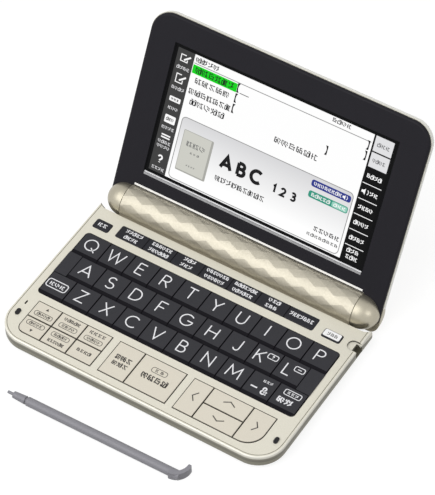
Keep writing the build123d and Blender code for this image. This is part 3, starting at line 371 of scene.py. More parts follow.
# Painted shade: the letter keys' skirts and sides, darker than their tops
KEY_SIDE_SHADE = moulded("key_side_charcoal", srgb(26, 25, 29), srgb(32, 31, 35), 0.6, specular=0.02)
BAR_DARK = moulded("function_charcoal", srgb(38, 38, 43), srgb(46, 46, 51), 0.42, specular=0.15)
BEZEL = moulded("bezel_charcoal", srgb(32, 31, 36), srgb(37, 36, 41), 0.42, 0.3, 0.003, 0.1)
GLOSS_WHITE = moulded("key_white", srgb(246, 246, 246), srgb(252, 252, 252), 0.25, 0.3, 0.002)
RUBBER = moulded("rubber_black", srgb(24, 24, 26), srgb(34, 34, 36), 0.7, 0.3, 0.01, 0.3)
STYLUS = moulded("stylus_grey", srgb(133, 132, 138), srgb(143, 142, 148), 0.36, 0.3, 0.003, 0.35)
GLASS = moulded("display_glass", srgb(6, 6, 8), srgb(10, 10, 12), 0.14, 2.0, 0.0005, 0.08)
# Painted shade in the sloped edge of the bezel's window
REVEAL_SHADE = moulded("window_reveal_shade", srgb(16, 16, 18), srgb(22, 22, 24), 0.5, 0.3, 0.003, 0.05)
# Painted shade on the walls of the keys and of the openings round them
GAP_SHADE = moulded("gap_shade", srgb(36, 33, 28), srgb(43, 40, 34), 0.7, specular=0.05)
BOARD = moulded("solder_mask", srgb(16, 82, 44), srgb(24, 96, 54), 0.35, 0.8)
CELL = moulded("cell_jacket", srgb(58, 88, 70), srgb(70, 102, 82), 0.3, 1.5)

# Brushed metal: colour, darker colour, roughness, and how the lines are drawn out
SILVER = brushed("lip_silver", srgb(176, 176, 177), srgb(140, 140, 142), 0.32, (0.05, 1, 1))
STEEL = brushed("plated_steel", srgb(176, 176, 178), srgb(140, 140, 142), 0.35, (1, 0.1, 1))

INK_WHITE = ink("ink_white", srgb(236, 236, 239), srgb(220, 220, 224))
INK_DARK = ink("ink_dark", srgb(44, 40, 36), srgb(54, 50, 45))
INK_BLACK = ink("ink_black", srgb(40, 38, 38), srgb(52, 50, 50))

# The nodes that each material covers; all other nodes are letter keys, in KEY_DARK
FINISHES = {
    CHAMPAGNE: ["base_upper_case", "lid_cover"],
    BRONZE_AND_SHADE: ["base_lower_case"],
    BARREL: ["hinge_barrel", "battery_cover"],
    BAR_DARK: ["function_keys", "key_power", "key_home"],
    BEZEL: ["lid_bezel"],
    RUBBER: ["rubber_feet", "key_mat"],
    STYLUS: ["stylus"],
    GLASS: ["display_panel"],
    SILVER: ["lid_trims"],
    STEEL: ["battery_contacts", "hinge_pins", "case_screws"],
    BOARD: ["main_board"],
    CELL: ["batteries"],
}
SOFT_NODES = ["key_quick_%d" % number for number in range(1, 7)]
SOFT_NODES += ["key_back", "key_enter", "key_left", "key_up", "key_down", "key_right"]
NOT_LETTER_KEYS = ("key_mat", "key_power", "key_home")


def finish_nodes():
    """Give every CAD node its material, and some of its faces a second one."""
    chosen = {name: mat for mat, names in FINISHES.items() for name in names}
    chosen.update({name: SOFT_KEY for name in SOFT_NODES})
    for name, node in NODES.items():
        node.data.materials.clear()
        node.data.materials.append(chosen.get(name, KEY_DARK))
    for name, node in NODES.items():
        if name in SOFT_NODES:
            paint_faces(node, KEY_EDGE_SHADE, on_shaded_edge)
            paint_faces(node, GAP_SHADE, on_wall)
        elif name.startswith("key_") and name not in NOT_LETTER_KEYS:
            paint_faces(node, KEY_SIDE_SHADE, on_skirt)
    case = NODES["base_upper_case"]
    paint_faces(case, GAP_SHADE, on_wall)
    paint_faces(case, CASE_SIDE, on_case_side)
    paint_faces(case, GROOVE, on_groove)
    paint_faces(case, KEY_DARK, on_filler)
    paint_faces(NODES["lid_bezel"], REVEAL_SHADE, on_reveal)
    paint_faces(NODES["lid_cover"], RIM, on_lid_rim)
    paint_faces(NODES["hinge_barrel"], BARREL_FOOT, on_barrel_foot)
    paint_faces(NODES["lid_cover"], KNUCKLE, on_knuckle)


def paint_faces(node, material, wanted):
    """Give some of a node's faces another material: those whose middle and normal are wanted."""
    data = node.data
    data.materials.append(material)
    slot = len(data.materials) - 1
    place = node.matrix_world
    turn = place.to_3x3()
    for face in data.polygons:
        if wanted(place @ face.center / MM, turn @ face.normal):
            face.material_index = slot


# A face is level where its normal's Z is above the first, and upright where it is below the second
LEVEL, STEEP = 0.95, 0.3
WALL_FOOT = 6.5


def on_skirt(middle, normal):
    """A key's skirt and sides, all but its level top, which take painted shade."""
    return normal.z < LEVEL


def on_wall(middle, normal):
    """Walls of keys and of the openings round them, which take painted shade."""
    return abs(normal.z) < STEEP and middle.z > WALL_FOOT


BEVEL_STEEPEST, BEVEL_FLATTEST = 0.5, 0.9
AWAY_FROM_LIGHT = 0.3


def on_shaded_edge(middle, normal):
    """A soft key's bevels toward the front and the right, which take painted shade."""
    return BEVEL_STEEPEST < normal.z < BEVEL_FLATTEST and normal.x - normal.y > AWAY_FROM_LIGHT


CASE_HALF, CASE_FRONT, CASE_REAR = 74.0, -52.333, 34.2
CASE_CORNER = 14.0


def from_case_edge(middle):
    """How far a point lies inside the base's outline, seen from above."""
    side = CASE_HALF - abs(middle.x)
    front = middle.y - CASE_FRONT
    if side < CASE_CORNER and front < CASE_CORNER:
        return CASE_CORNER - math.hypot(CASE_CORNER - side, CASE_CORNER - front)
    return min(side, front)


CASE_SIDE_DEPTH = 0.75
CASE_SIDE_FLATTEST = 0.9


def on_case_side(middle, normal):
    """The upper case's outer side, below the rounded edge, which takes the painted highlight and shade."""
    outside = from_case_edge(middle) < CASE_SIDE_DEPTH and middle.y < CASE_REAR
    return outside and normal.z < CASE_SIDE_FLATTEST


GROOVE_OUTER, GROOVE_INNER = 0.95, 1.35
GROOVE_FOOT, GROOVE_HEAD = 8.1, 8.48


def on_groove(middle, normal):
    """The fine groove just inside the deck's edge, which takes painted shade."""
    return GROOVE_OUTER < from_case_edge(middle) < GROOVE_INNER and GROOVE_FOOT < middle.z < GROOVE_HEAD


def in_lid(middle):
    """A point in the lid's own frame, in millimetres."""
    return LID.inverted() @ (middle * MM) / MM


WINDOW_HALF = 59.7
WINDOW_FOOT, WINDOW_HEAD = 17.9, 84.8
BELOW_BEZEL = -0.02


def on_reveal(middle, normal):
    """The sloped edge of the bezel's window, which takes painted shade."""
    place = in_lid(middle)
    return place.z < BELOW_BEZEL and abs(place.x) < WINDOW_HALF and WINDOW_FOOT < place.y < WINDOW_HEAD


RIM_START = 8.0
RIM_FLATTEST = 0.75


def on_lid_rim(middle, normal):
    """The lid's outer side, along the top and down both sides, which takes a painted highlight."""
    facing = (LID.inverted().to_3x3() @ normal).z
    return abs(facing) < RIM_FLATTEST and in_lid(middle).y > RIM_START


FILLERS = ((-69.3, -62.3), (61.9, 69.3))
FILLER_FRONT, FILLER_REAR = -10.0, 3.95
FILLER_FOOT = 7.4


def on_filler(middle, normal):
    """The dark fillers beside the middle letter row."""
    across = any(low < middle.x < high for low, high in FILLERS)
    return across and FILLER_FRONT < middle.y < FILLER_REAR and middle.z > FILLER_FOOT


KNUCKLE_START = 63.1
KNUCKLE_REACH = 8.9


def on_knuckle(middle, normal):
    """The lid's half-round knuckle at each end of the barrel."""
    from_axis = in_lid(middle)
    return abs(middle.x) > KNUCKLE_START and Vector((from_axis.y, from_axis.z)).length < KNUCKLE_REACH


BARREL_FOOT_REAR = 35.4
BARREL_FOOT_TOP = 8.35
BARREL_FOOT_FACING = 0.5


def on_barrel_foot(middle, normal):
    """The barrel's plain ledge along the deck, which takes painted shade."""
    near_deck = middle.y < BARREL_FOOT_REAR and middle.z < BARREL_FOOT_TOP
    return near_deck and normal.z > BARREL_FOOT_FACING


# -------- flat drawings

# Crossing strokes lie at slightly different heights, so that no two tops share a plane
STEP = 0.0012
STEPS = 5
# A stroke's bend reaches out by its half width over this at most
SHARPEST_BEND = 0.35
CORNER_STEPS = 5


class Drawing:
    """Flat shapes about an origin that become one thin printed piece."""

    def __init__(self, origin=(0, 0)):
        self.origin = Vector(origin)
        self.loops = []

    def polygon(self, points):
        """A filled shape."""
        self.loops.append([self.origin + Vector(point) for point in points])

    def rect(self, x0, x1, y0, y1):
        """A filled rectangle."""
        self.polygon([(x0, y0), (x1, y0), (x1, y1), (x0, y1)])

    def rounded(self, x0, x1, y0, y1, radius):
        """A filled rectangle with round corners."""
        self.polygon(rounded_outline(x0, x1, y0, y1, radius))

    def ribbon(self, points, width, closed=False):
        """A stroke of constant width along a line."""
        points = [Vector(point) for point in points]
        count = len(points)
        ways = [(points[(i + 1) % count] - point).normalized() for i, point in enumerate(points)]
        left, right = [], []
        for i, here in enumerate(points):
            into = ways[i - 1] if closed or i > 0 else ways[i]
            out = ways[i] if closed or i < count - 1 else into
            normal = Vector((-into.y - out.y, into.x + out.x)).normalized()
            reach = width / 2 / max(normal.dot(Vector((-into.y, into.x))), SHARPEST_BEND)
            left.append(here + normal * reach)
            right.append(here - normal * reach)
        last = count if closed else count - 1
        for i in range(last):
            j = (i + 1) % count
            self.polygon([right[i], right[j], left[j], left[i]])

    def box_outline(self, x0, x1, y0, y1, radius, width):
        """A stroke along a rectangle with round corners."""
        self.ribbon(rounded_outline(x0, x1, y0, y1, radius), width, closed=True)

    def piece(self, name, body, material, slot, matrix, low, high):
        """Extrude the shapes from low to high above the drawing plane and put them on a body."""
        mesh = bmesh.new()
        for count, loop in enumerate(self.loops):
            if sum(a.x * b.y - b.x * a.y for a, b in zip(loop, loop[1:] + loop[:1])) < 0:
                loop = loop[::-1]
            top = high + STEP * (count % STEPS)
            under = [mesh.verts.new((p.x * MM, p.y * MM, low * MM)) for p in loop]
            over = [mesh.verts.new((p.x * MM, p.y * MM, top * MM)) for p in loop]
            mesh.faces.new(over)
            mesh.faces.new(under[::-1])
            for i in range(len(loop)):
                j = (i + 1) % len(loop)
                mesh.faces.new((under[i], under[j], over[j], over[i]))
        mesh.transform(matrix)
        add_piece(name, mesh, body, material)


def add_object(name, data):
    """Put a new object into the scene."""
    obj = bpy.data.objects.new(name, data)
    bpy.context.scene.collection.objects.link(obj)
    return obj


def add_piece(name, mesh, body, material):
    """Make an object of a bmesh, with its material and body."""
    data = bpy.data.meshes.new(name)
    mesh.to_mesh(data)
    mesh.free()
    obj = add_object(name, data)
    data.materials.append(material)
    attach(obj, body)


def arc(cx, cy, rx, ry, start, end, steps=14):
    """Points on an ellipse from one angle to another, in degrees."""
    angles = [math.radians(start + (end - start) * i / steps) for i in range(steps + 1)]
    return [(cx + rx * math.cos(angle), cy + ry * math.sin(angle)) for angle in angles]


def rounded_outline(x0, x1, y0, y1, radius):
    """A rectangle with round corners."""
    points = []
    for cx, cy, start in ((x1 - radius, y0 + radius, -90), (x1 - radius, y1 - radius, 0),
                          (x0 + radius, y1 - radius, 90), (x0 + radius, y0 + radius, 180)):
        points += arc(cx, cy, radius, radius, start, start + 90, CORNER_STEPS)
    return points


def letter_strokes():
    """Capital letters, digits and signs as strokes in a box one unit high: a plain geometric face."""
    stem = [(0, 0), (0, 1)]
    bowl = [(0, 1)] + arc(0.30, 0.735, 0.29, 0.265, 90, -90) + [(0, 0.47)]
    ring = arc(0.5, 0.5, 0.5, 0.5, 0, 360, 32)
    return {
        "A": [[(0, 0), (0.46, 1), (0.92, 0)], [(0.15, 0.32), (0.77, 0.32)]],
        "B": [stem, [(0, 1)] + arc(0.28, 0.765, 0.25, 0.235, 90, -90) + [(0, 0.53)],
              [(0.2, 0.53)] + arc(0.32, 0.265, 0.28, 0.265, 90, -90) + [(0, 0)]],
        "C": [arc(0.5, 0.5, 0.5, 0.5, 47, 313, 26)],
        "D": [stem, [(0, 1)] + arc(0.28, 0.5, 0.5, 0.5, 90, -90, 20) + [(0, 0)]],
        "E": [stem, [(0, 1), (0.58, 1)], [(0, 0.52), (0.52, 0.52)], [(0, 0), (0.6, 0)]],
        "F": [stem, [(0, 1), (0.58, 1)], [(0, 0.5), (0.5, 0.5)]],
        "G": [arc(0.5, 0.5, 0.5, 0.5, 47, 350, 28) + [(0.98, 0.46), (0.56, 0.46)]],
        "H": [stem, [(0.74, 0), (0.74, 1)], [(0, 0.52), (0.74, 0.52)]],
        "I": [stem],
        "J": [[(0.44, 1), (0.44, 0.26)] + arc(0.22, 0.24, 0.22, 0.24, 0, -160, 10)],
        "K": [stem, [(0.62, 1), (0, 0.4)], [(0.2, 0.6), (0.66, 0)]],
        "L": [[(0, 1), (0, 0), (0.54, 0)]],
        "M": [[(0, 0), (0.08, 1), (0.5, 0.3), (0.92, 1), (1, 0)]],
        "N": [[(0, 0), (0, 1), (0.74, 0), (0.74, 1)]],
        "O": [ring],
        "P": [stem, bowl],
        "Q": [ring, [(0.6, 0.28), (1.0, -0.06)]],
        "R": [stem, bowl, [(0.28, 0.47), (0.64, 0)]],
        "S": [arc(0.31, 0.745, 0.28, 0.255, 35, 250, 16) + arc(0.32, 0.25, 0.31, 0.26, 75, -145, 18)],
        "T": [[(0, 1), (0.7, 1)], [(0.35, 1), (0.35, 0)]],
        "U": [[(0, 1)] + arc(0.36, 0.36, 0.36, 0.36, 180, 360) + [(0.72, 1)]],
        "V": [[(0, 1), (0.41, 0), (0.82, 1)]],
        "W": [[(0, 1), (0.32, 0), (0.63, 0.94), (0.94, 0), (1.26, 1)]],
        "X": [[(0, 1), (0.72, 0)], [(0.72, 1), (0, 0)]],
        "Y": [[(0, 1), (0.38, 0.46), (0.76, 1)], [(0.38, 0.46), (0.38, 0)]],
        "Z": [[(0, 1), (0.66, 1), (0, 0), (0.7, 0)]],
        "-": [[(0, 0.45), (0.6, 0.45)]],
        "&": [[(0.74, 0)] + arc(0.27, 0.77, 0.2, 0.23, 205, -45) + arc(0.27, 0.25, 0.27, 0.25, 110, 330)
              + [(0.72, 0.5)]],
        "?": [arc(0.3, 0.72, 0.27, 0.27, 170, -60) + [(0.3, 0.36), (0.3, 0.26)], [(0.3, 0.1), (0.3, 0)]],
        "1": [[(0, 0.8), (0.22, 1), (0.22, 0)]],
        "2": [arc(0.3, 0.7, 0.28, 0.29, 165, -35) + [(0, 0), (0.62, 0)]],
        "3": [arc(0.28, 0.76, 0.25, 0.24, 150, -90) + arc(0.28, 0.26, 0.29, 0.27, 90, -150)],
    }


LETTERS = letter_strokes()


def letter_ends(name):
    """How far to the left and right a letter's strokes reach, in units of its height."""
    places = [point[0] for line in LETTERS[name] for point in line]
    return min(places), max(places)


def letter(drawing, name, cx, cy, height, stroke):
    """Draw a letter centred on a point, its overall height given."""
    scale = height - stroke
    left, right = letter_ends(name)
    middle = (left + right) / 2
    for line in LETTERS[name]:
        drawing.ribbon([(cx + (x - middle) * scale, cy + (y - 0.5) * scale) for x, y in line], stroke)


def word(drawing, text, x, cy, height, stroke, space):
    """Draw letters from left to right, starting at x."""
    for name in text:
        left, right = letter_ends(name)
        width = (right - left) * (height - stroke) + stroke
        letter(drawing, name, x + width / 2, cy, height, stroke)
        x += width + space


# Made-up signs like fine print seen from afar: each stroke's two ends, in a box from -1 to 1 both ways
SIGNS = (
    ((-0.9, 0.75, 0.5, 0.75), (-0.3, 0.15, 0.9, 0.15), (-0.9, -0.6, 0.4, -0.6), (-0.65, 0.7, -0.65, -0.55),
     (0.65, 0.1, 0.65, -0.9)),
    ((-0.3, 0.9, 0.9, 0.9), (0.9, 0.8, 0.9, -0.8)),
    ((-0.8, 0.7, 0.9, 0.7), (-0.6, 0.6, 0.8, -0.9), (-0.8, -0.3, 0.0, -0.9)),
    ((-0.6, 0.9, -0.6, -0.9), (-0.9, 0.0, -0.2, 0.0), (0.1, 0.8, 0.9, 0.5), (0.2, 0.6, 0.2, -0.8),
     (0.2, -0.8, 0.95, -0.8)),
    ((-0.85, 0.85, -0.85, -0.2), (-0.85, -0.2, 0.3, -0.9), (-0.2, 0.8, 0.9, 0.3), (0.1, 0.1, 0.9, -0.3)),
    ((-0.85, 0.8, -0.4, 0.2), (-0.8, -0.8, 0.9, -0.1), (0.0, 0.6, 0.9, 0.9), (0.5, 0.8, 0.3, -0.3)),
)
# This one also has a box: its left, right, foot and head, and its corner over the stroke's weight
BOXED_SIGN = 1
SIGN_BOX = (-0.8, 0.5, -0.8, 0.4)
BOX_ROUNDING = 0.3


def mark(drawing, cx, cy, width, height, chooser, weight):
    """One made-up sign, picked by the chooser."""
    across, up = width / 2, height / 2
    kind = chooser.randrange(len(SIGNS))
    if kind == BOXED_SIGN:
        left, right, foot, head = SIGN_BOX
        drawing.box_outline(cx + left * across, cx + right * across, cy + foot * up, cy + head * up,
                            weight * BOX_ROUNDING, weight)
    for x0, y0, x1, y1 in SIGNS[kind]:
        drawing.ribbon([(cx + x0 * across, cy + y0 * up), (cx + x1 * across, cy + y1 * up)], weight)


# A sign's width over its pitch and over its height, of which the smaller counts
SIGN_FILL, SIGN_SHAPE = 0.88, 1.1
# In print taller than this, two signs of three are made of two narrow ones: their places and widths
PAIRED_ABOVE = 2.5
HALVES = ((-0.27, 0.44), (0.24, 0.5))


def marks(drawing, x0, x1, cy, height, count, seed, weight):
    """A row of signs: its left and right ends, middle line, height, how many, seed and weight of stroke."""
    chooser = random.Random(seed)
    pitch = (x1 - x0) / count
    width = min(pitch * SIGN_FILL, height * SIGN_SHAPE)
    for i in range(count):
        x = x0 + (i + 0.5) * pitch
        if height > PAIRED_ABOVE and i % 3 != 2:
            for shift, share in HALVES:
                mark(drawing, x + width * shift, cy, width * share, height, chooser, weight)
        else:
            mark(drawing, x, cy, width, height, chooser, weight)


def rows_of_marks(drawing, rows):
    """Several rows of signs, each given as marks takes it."""
    for row in rows:
        marks(drawing, *row)


# -------- key legends

# Print reaches from just inside a key's top to just above it
PRINT_LOW, PRINT_HIGH = -0.02, 0.02
LETTER_HEIGHT = 7.0
LETTER_STROKE = 0.6
LETTER_SHIFT = -0.5
# A letter key's front skirt, which lies below its level top
SKIRT = 1.7


def key_middle(node):
    """The middle of a key, seen from above."""
    low, high = limits(node)
    return ((low + high) / 2).to_2d()


def flat_middle(node):
    """The middle of a letter key's level top."""
    return key_middle(node) + Vector((0, SKIRT / 2))


def print_on(drawing, node, material=INK_WHITE, slot="key_white"):
    """Print a drawing on a key's top; the piece takes its name from the key's."""
    name = "legend_" + node.removeprefix("key_")
    top = limits(node)[1].z
    body = NODES[node]["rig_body"]
    drawing.piece(name, body, material, slot, UPRIGHT, top + PRINT_LOW, top + PRINT_HIGH)


def soft_print(drawing, node):
    """Print a drawing in dark ink on a champagne key."""
    print_on(drawing, node, INK_DARK, "bezel_charcoal")


# Letters that share their key with a small box: the letter's shift, and the box's place
BOXED_LETTERS = {"K": (-2.7, 3.0), "L": (-1.7, 3.2)}
BOX_UP = 2.2
BOX_HALF_WIDTH, BOX_HALF_HEIGHT = 2.5, 1.4
BOX_CORNER, BOX_STROKE = 0.8, 0.42


def letter_box(drawing, name, x):
    """The small box beside K, with a question mark in it, or beside L, with a dash."""
    drawing.box_outline(x - BOX_HALF_WIDTH, x + BOX_HALF_WIDTH, BOX_UP - BOX_HALF_HEIGHT,
                        BOX_UP + BOX_HALF_HEIGHT, BOX_CORNER, BOX_STROKE)
    if name == "K":
        letter(drawing, "?", x, BOX_UP, 1.9, 0.4)
    else:
        drawing.ribbon([(x - 1.0, BOX_UP), (x + 1.0, BOX_UP)], 0.4)


def letter_legends():
    """The 26 letters, with the small boxes beside K and L."""
    for name in "QWERTYUIOPASDFGHJKLZXCVBNM":
        node = "key_" + name.lower()
        drawing = Drawing(flat_middle(node))
        shift, box_x = BOXED_LETTERS.get(name, (LETTER_SHIFT, None))
        letter(drawing, name, shift, 0, LETTER_HEIGHT, LETTER_STROKE)
        if box_x is not None:
            letter_box(drawing, name, box_x)
        print_on(drawing, node)


# Rows of signs on the wide keys, as marks takes them
WIDE_PRINT = {
    "key_shift": ((-4.5, 3.9, -0.4, 2.3, 3, 11, 0.42),),
    "key_symbol": ((-0.6, 4.4, 2.8, 1.5, 3, 12, 0.26),),
    "key_delete": ((-2.2, 3.8, 2.8, 1.5, 3, 13, 0.3), (-4.6, 3.4, -2.2, 3.4, 2, 14, 0.62)),
}


def wide_key_legends():
    """Shift, symbol and delete keys."""
    for node, rows in WIDE_PRINT.items():
        drawing = Drawing(flat_middle(node))
        if node == "key_shift":
            drawing.box_outline(-5.6, 5.0, -2.7, 1.9, 1.2, 0.5)
        elif node == "key_symbol":
            drawing.ribbon([(-4.2, -2.2), (-0.9, -2.2)], 0.75)
            letter(drawing, "&", 3.0, -2.2, 4.5, 0.75)
        else:
            drawing.box_outline(-3.4, 5.0, 1.3, 4.3, 0.8, 0.4)
        rows_of_marks(drawing, rows)
        print_on(drawing, node)


# Rows of print on each function key, from left to right: their widths and numbers of signs
FUNCTION_ROWS = (
    ((9.4, 5), (7.4, 4)),
    ((11.2, 6), (10.8, 6)),
    ((6.6, 3), (6.6, 3)),
    ((12.0, 7), (10.6, 6)),
    ((12.2, 7), (10.8, 6)),
    ((6.4, 3), (6.4, 3)),
    ((12.6, 7),),
)
# For a key with one row or two: how far the rows lie from its middle, and how tall they are
ROW_PLACES = {1: (0.2,), 2: (1.7, -1.8)}
ROW_HEIGHTS = {1: 2.4, 2: 2.1}


def function_legends():
    """Print on the function bar and the power key, and the home key's white cap."""
    low, high = limits("function_keys")
    pitch = (high.x - low.x) / len(FUNCTION_ROWS)
    drawing = Drawing((low.x, key_middle("function_keys").y))
    for i, rows in enumerate(FUNCTION_ROWS):
        x = (i + 0.5) * pitch
        height = ROW_HEIGHTS[len(rows)]
        for j, (width, count) in enumerate(rows):
            y = ROW_PLACES[len(rows)][j]
            marks(drawing, x - width / 2, x + width / 2, y, height, count, 20 + 3 * i + j, 0.4)
    print_on(drawing, "function_keys")

    drawing = Drawing(key_middle("key_power"))
    marks(drawing, -2.6, 2.6, 0, 2.3, 2, 41, 0.42)
    print_on(drawing, "key_power")

    low, high = limits("key_home")
    top = high.z
    drawing = Drawing()
    drawing.rounded(low.x + 0.35, high.x - 0.6, low.y + 0.75, high.y - 0.35, 0.75)
    drawing.piece("home_cap", "key_home", GLOSS_WHITE, "key_white", UPRIGHT, top - 0.05, top + 0.08)
    drawing = Drawing(key_middle("key_home"))
    marks(drawing, -2.8, 2.8, 0.1, 1.9, 3, 42, 0.3)
    drawing.piece("legend_home", "key_home", INK_BLACK, "bezel_charcoal", UPRIGHT, top + 0.06, top + 0.1)


# A pill's corner and print as shares of its height, the stroke round it and the margin inside its ends
PILL_CORNER, PILL_PRINT = 0.42, 0.56
PILL_STROKE, PILL_MARGIN = 0.28, 1.2


def pill(drawing, x, y, count, seed, width=9.4, height=2.5):
    """A rounded outline round a row of signs."""
    left, right = x - width / 2, x + width / 2
    drawing.box_outline(left, right, y - height / 2, y + height / 2, height * PILL_CORNER, PILL_STROKE)
    marks(drawing, left + PILL_MARGIN, right - PILL_MARGIN, y, height * PILL_PRINT, count, seed, 0.3)


# Key number, the pill's place above the key's middle, how many signs in the plain row, arrow up or down
QUICK_KEYS = ((1, -1.6, 0, 1), (2, -1.6, 5, 0), (3, -1.6, 4, 0), (4, 1.9, 0, -1), (5, 1.9, 6, 0),
              (6, 0, 4, 0))
# The plain row's place and half width, with the pill above it, below it or not there
BELOW_PILL = (-2.0, 4.4)
ABOVE_PILL = (2.2, 4.4)
NO_PILL = (0.4, 3.9)


def quick_key_legends():
    """The six small champagne keys."""
    for number, pill_up, count, arrow in QUICK_KEYS:
        node = "key_quick_%d" % number
        drawing = Drawing(key_middle(node))
        row, half = NO_PILL
        if pill_up:
            pill(drawing, 0, pill_up, 4, 50 + number)
            row, half = BELOW_PILL if pill_up > 0 else ABOVE_PILL
        if count:
            marks(drawing, -half, half, row, 1.9, count, 60 + number, 0.36)
        if arrow:
            foot = row - 0.7 * arrow
            drawing.polygon([(-0.8, foot), (0.8, foot), (0, row + 0.8 * arrow)])
        soft_print(drawing, node)


# Key, the way its arrow points, half length, half width and place above the key's middle
ARROWS = (
    ("key_left", (-1, 0), 0.95, 2.6, 0.9),
    ("key_right", (1, 0), 0.95, 2.6, 0.9),
    ("key_up", (0, 1), 0.85, 3.0, 0.9),
    ("key_down", (0, -1), 0.85, 3.0, 0.1),
)
ARROW_STROKE = 0.52


def large_soft_legends():
    """Back and enter keys, and the four arrows."""
    drawing = Drawing(key_middle("key_back"))
    marks(drawing, -4.4, 4.4, 1.6, 3.0, 3, 71, 0.54)
    marks(drawing, -4.0, 4.4, -2.1, 2.6, 3, 72, 0.42)
    soft_print(drawing, "key_back")

    drawing = Drawing(key_middle("key_enter"))
    pill(drawing, -0.2, 3.9, 2, 73, 8.0, 2.8)
    marks(drawing, -7.0, 7.0, -0.9, 3.5, 4, 74, 0.58)
    soft_print(drawing, "key_enter")

    for node, way, half_length, half_width, up in ARROWS:
        tip = Vector(way) * half_length
        side = Vector((-way[1], way[0])) * half_width
        centre = Vector((0, up))
        drawing = Drawing(key_middle(node))
        drawing.ribbon([centre + side - tip, centre + tip, centre - side - tip], ARROW_STROKE)
        soft_print(drawing, node)


# -------- lit display

# The glass face's place along the lid's Z, and the thickness of each layer of the picture on it
GLASS_FACE = -0.8
LAYER = 0.02
WHITE = lit("screen_white", (1, 1, 1, 1))
SCREEN_BLACK = lit("screen_black", srgb(4, 4, 5))
STRIP_GREY = lit("screen_strip_grey", srgb(62, 62, 62))
CELL_GREY = lit("screen_cell_grey", srgb(226, 226, 228))
GREEN = lit("screen_green", srgb(10, 214, 26), dimming=0.08)
NAVY = lit("screen_navy", srgb(47, 58, 140))
TEAL = lit("screen_teal", srgb(52, 152, 128))
MINT = lit("screen_mint", srgb(150, 208, 190))
TEXT_BLACK = lit("screen_text_black", srgb(22, 22, 24))
TEXT_GREY = lit("screen_text_grey", srgb(96, 96, 98))
LINE_GREY = lit("screen_line_grey", srgb(150, 150, 150))
BOOK_GREY = lit("screen_book_grey", srgb(206, 206, 198))
BOOK_SHADE = lit("screen_book_shade", srgb(170, 170, 164))


def on_screen(drawing, name, material, level):
    """Put a drawing on the display; level 1 is lowest and set a little into the glass."""
    low = GLASS_FACE + (level - 1) * LAYER
    if level == 1:
        low -= LAYER
    drawing.piece("screen_" + name, "lid", material, "screen", PICTURE, low, GLASS_FACE + level * LAYER)


def area(name, material, level, left, right, foot, head, radius=0.0):
    """A plain area of the display, with round corners where a radius is given."""
    drawing = Drawing()
    if radius:
        drawing.rounded(left, right, foot, head, radius)
    else:
        drawing.rect(left, right, foot, head)
    on_screen(drawing, name, material, level)


SCREEN_LEFT, SCREEN_RIGHT = -57.5, 57.5
SCREEN_FOOT, SCREEN_HEAD = 18.9, 82.1
PAGE_LEFT, PAGE_RIGHT = -48.4, 46.7
HEADER_FOOT = 77.9
PANEL_LEFT, PANEL_RIGHT = PAGE_LEFT + 1.6, PAGE_RIGHT - 1.6
PANEL_FOOT, PANEL_HEAD = 19.6, 51.1
PANEL_CORNER = 2.2
CELLS = 8
PALE_CELLS = 2
SPEAKER_CELL = 3


def screen_areas():
    """Side strips and the white main area."""
    area("left_strip", STRIP_GREY, 1, SCREEN_LEFT, PAGE_LEFT, SCREEN_FOOT, SCREEN_HEAD)
    area("right_strip", SCREEN_BLACK, 1, PAGE_RIGHT, SCREEN_RIGHT, SCREEN_FOOT, SCREEN_HEAD)
    area("main_area", WHITE, 1, PAGE_LEFT, PAGE_RIGHT, SCREEN_FOOT, SCREEN_HEAD)


# Middle line and number of signs of the labels in the left strip
LEFT_LABELS = ((73.0, 4), (62.5, 4), (52.2, 3), (41.9, 4), (34.6, 4), (32.2, 4), (20.9, 4))


def left_icons():
    """Six small signs with a line of print under each."""
    middle = Vector(((SCREEN_LEFT + PAGE_LEFT) / 2, 0))
    drawing = Drawing(middle)
    for y, height in ((77.9, 3.2), (67.6, 4.2)):
        head = y + height / 2
        foot = y - height / 2
        drawing.ribbon([(0.4, head), (-2.2, head), (-2.2, foot), (1.4, foot), (1.4, y - 0.4)], 0.45)
        drawing.ribbon([(-0.4, y - 0.9), (2.8, y + 1.5)], 0.8)
    drawing.rounded(-2.9, 3.0, 55.6, 58.0, 0.4)
    drawing.rounded(-2.8, 2.9, 44.5, 48.5, 0.5)
    drawing.rect(-2.3, 2.4, 37.9, 38.6)
    drawing.rect(-2.3, 2.4, 36.6, 37.3)
    letter(drawing, "?", 0, 25.9, 4.4, 0.8)
    on_screen(drawing, "left_icons", WHITE, 2)

    drawing = Drawing(middle)
    marks(drawing, -2.2, 2.2, 56.8, 1.1, 3, 81, 0.3)
    marks(drawing, -2.1, 2.1, 46.5, 1.8, 3, 82, 0.3)
    on_screen(drawing, "icon_print", STRIP_GREY, 3)

    drawing = Drawing(middle)
    for i, (y, count) in enumerate(LEFT_LABELS):
        half = 3.5 if count == 4 else 2.8
        marks(drawing, -half, half, y, 1.7, count, 90 + i, 0.26)
    on_screen(drawing, "left_labels", CELL_GREY, 2)


def speaker(drawing, x, y):
    """A small loudspeaker with one arc of sound."""
    drawing.polygon([(x - 4.2, y - 0.6), (x - 3.3, y - 0.6), (x - 2.3, y - 1.5), (x - 2.3, y + 1.5),
                     (x - 3.3, y + 0.6), (x - 4.2, y + 0.6)])
    drawing.ribbon(arc(x - 2.2, y, 1.5, 1.5, -50, 50, 6), 0.35)


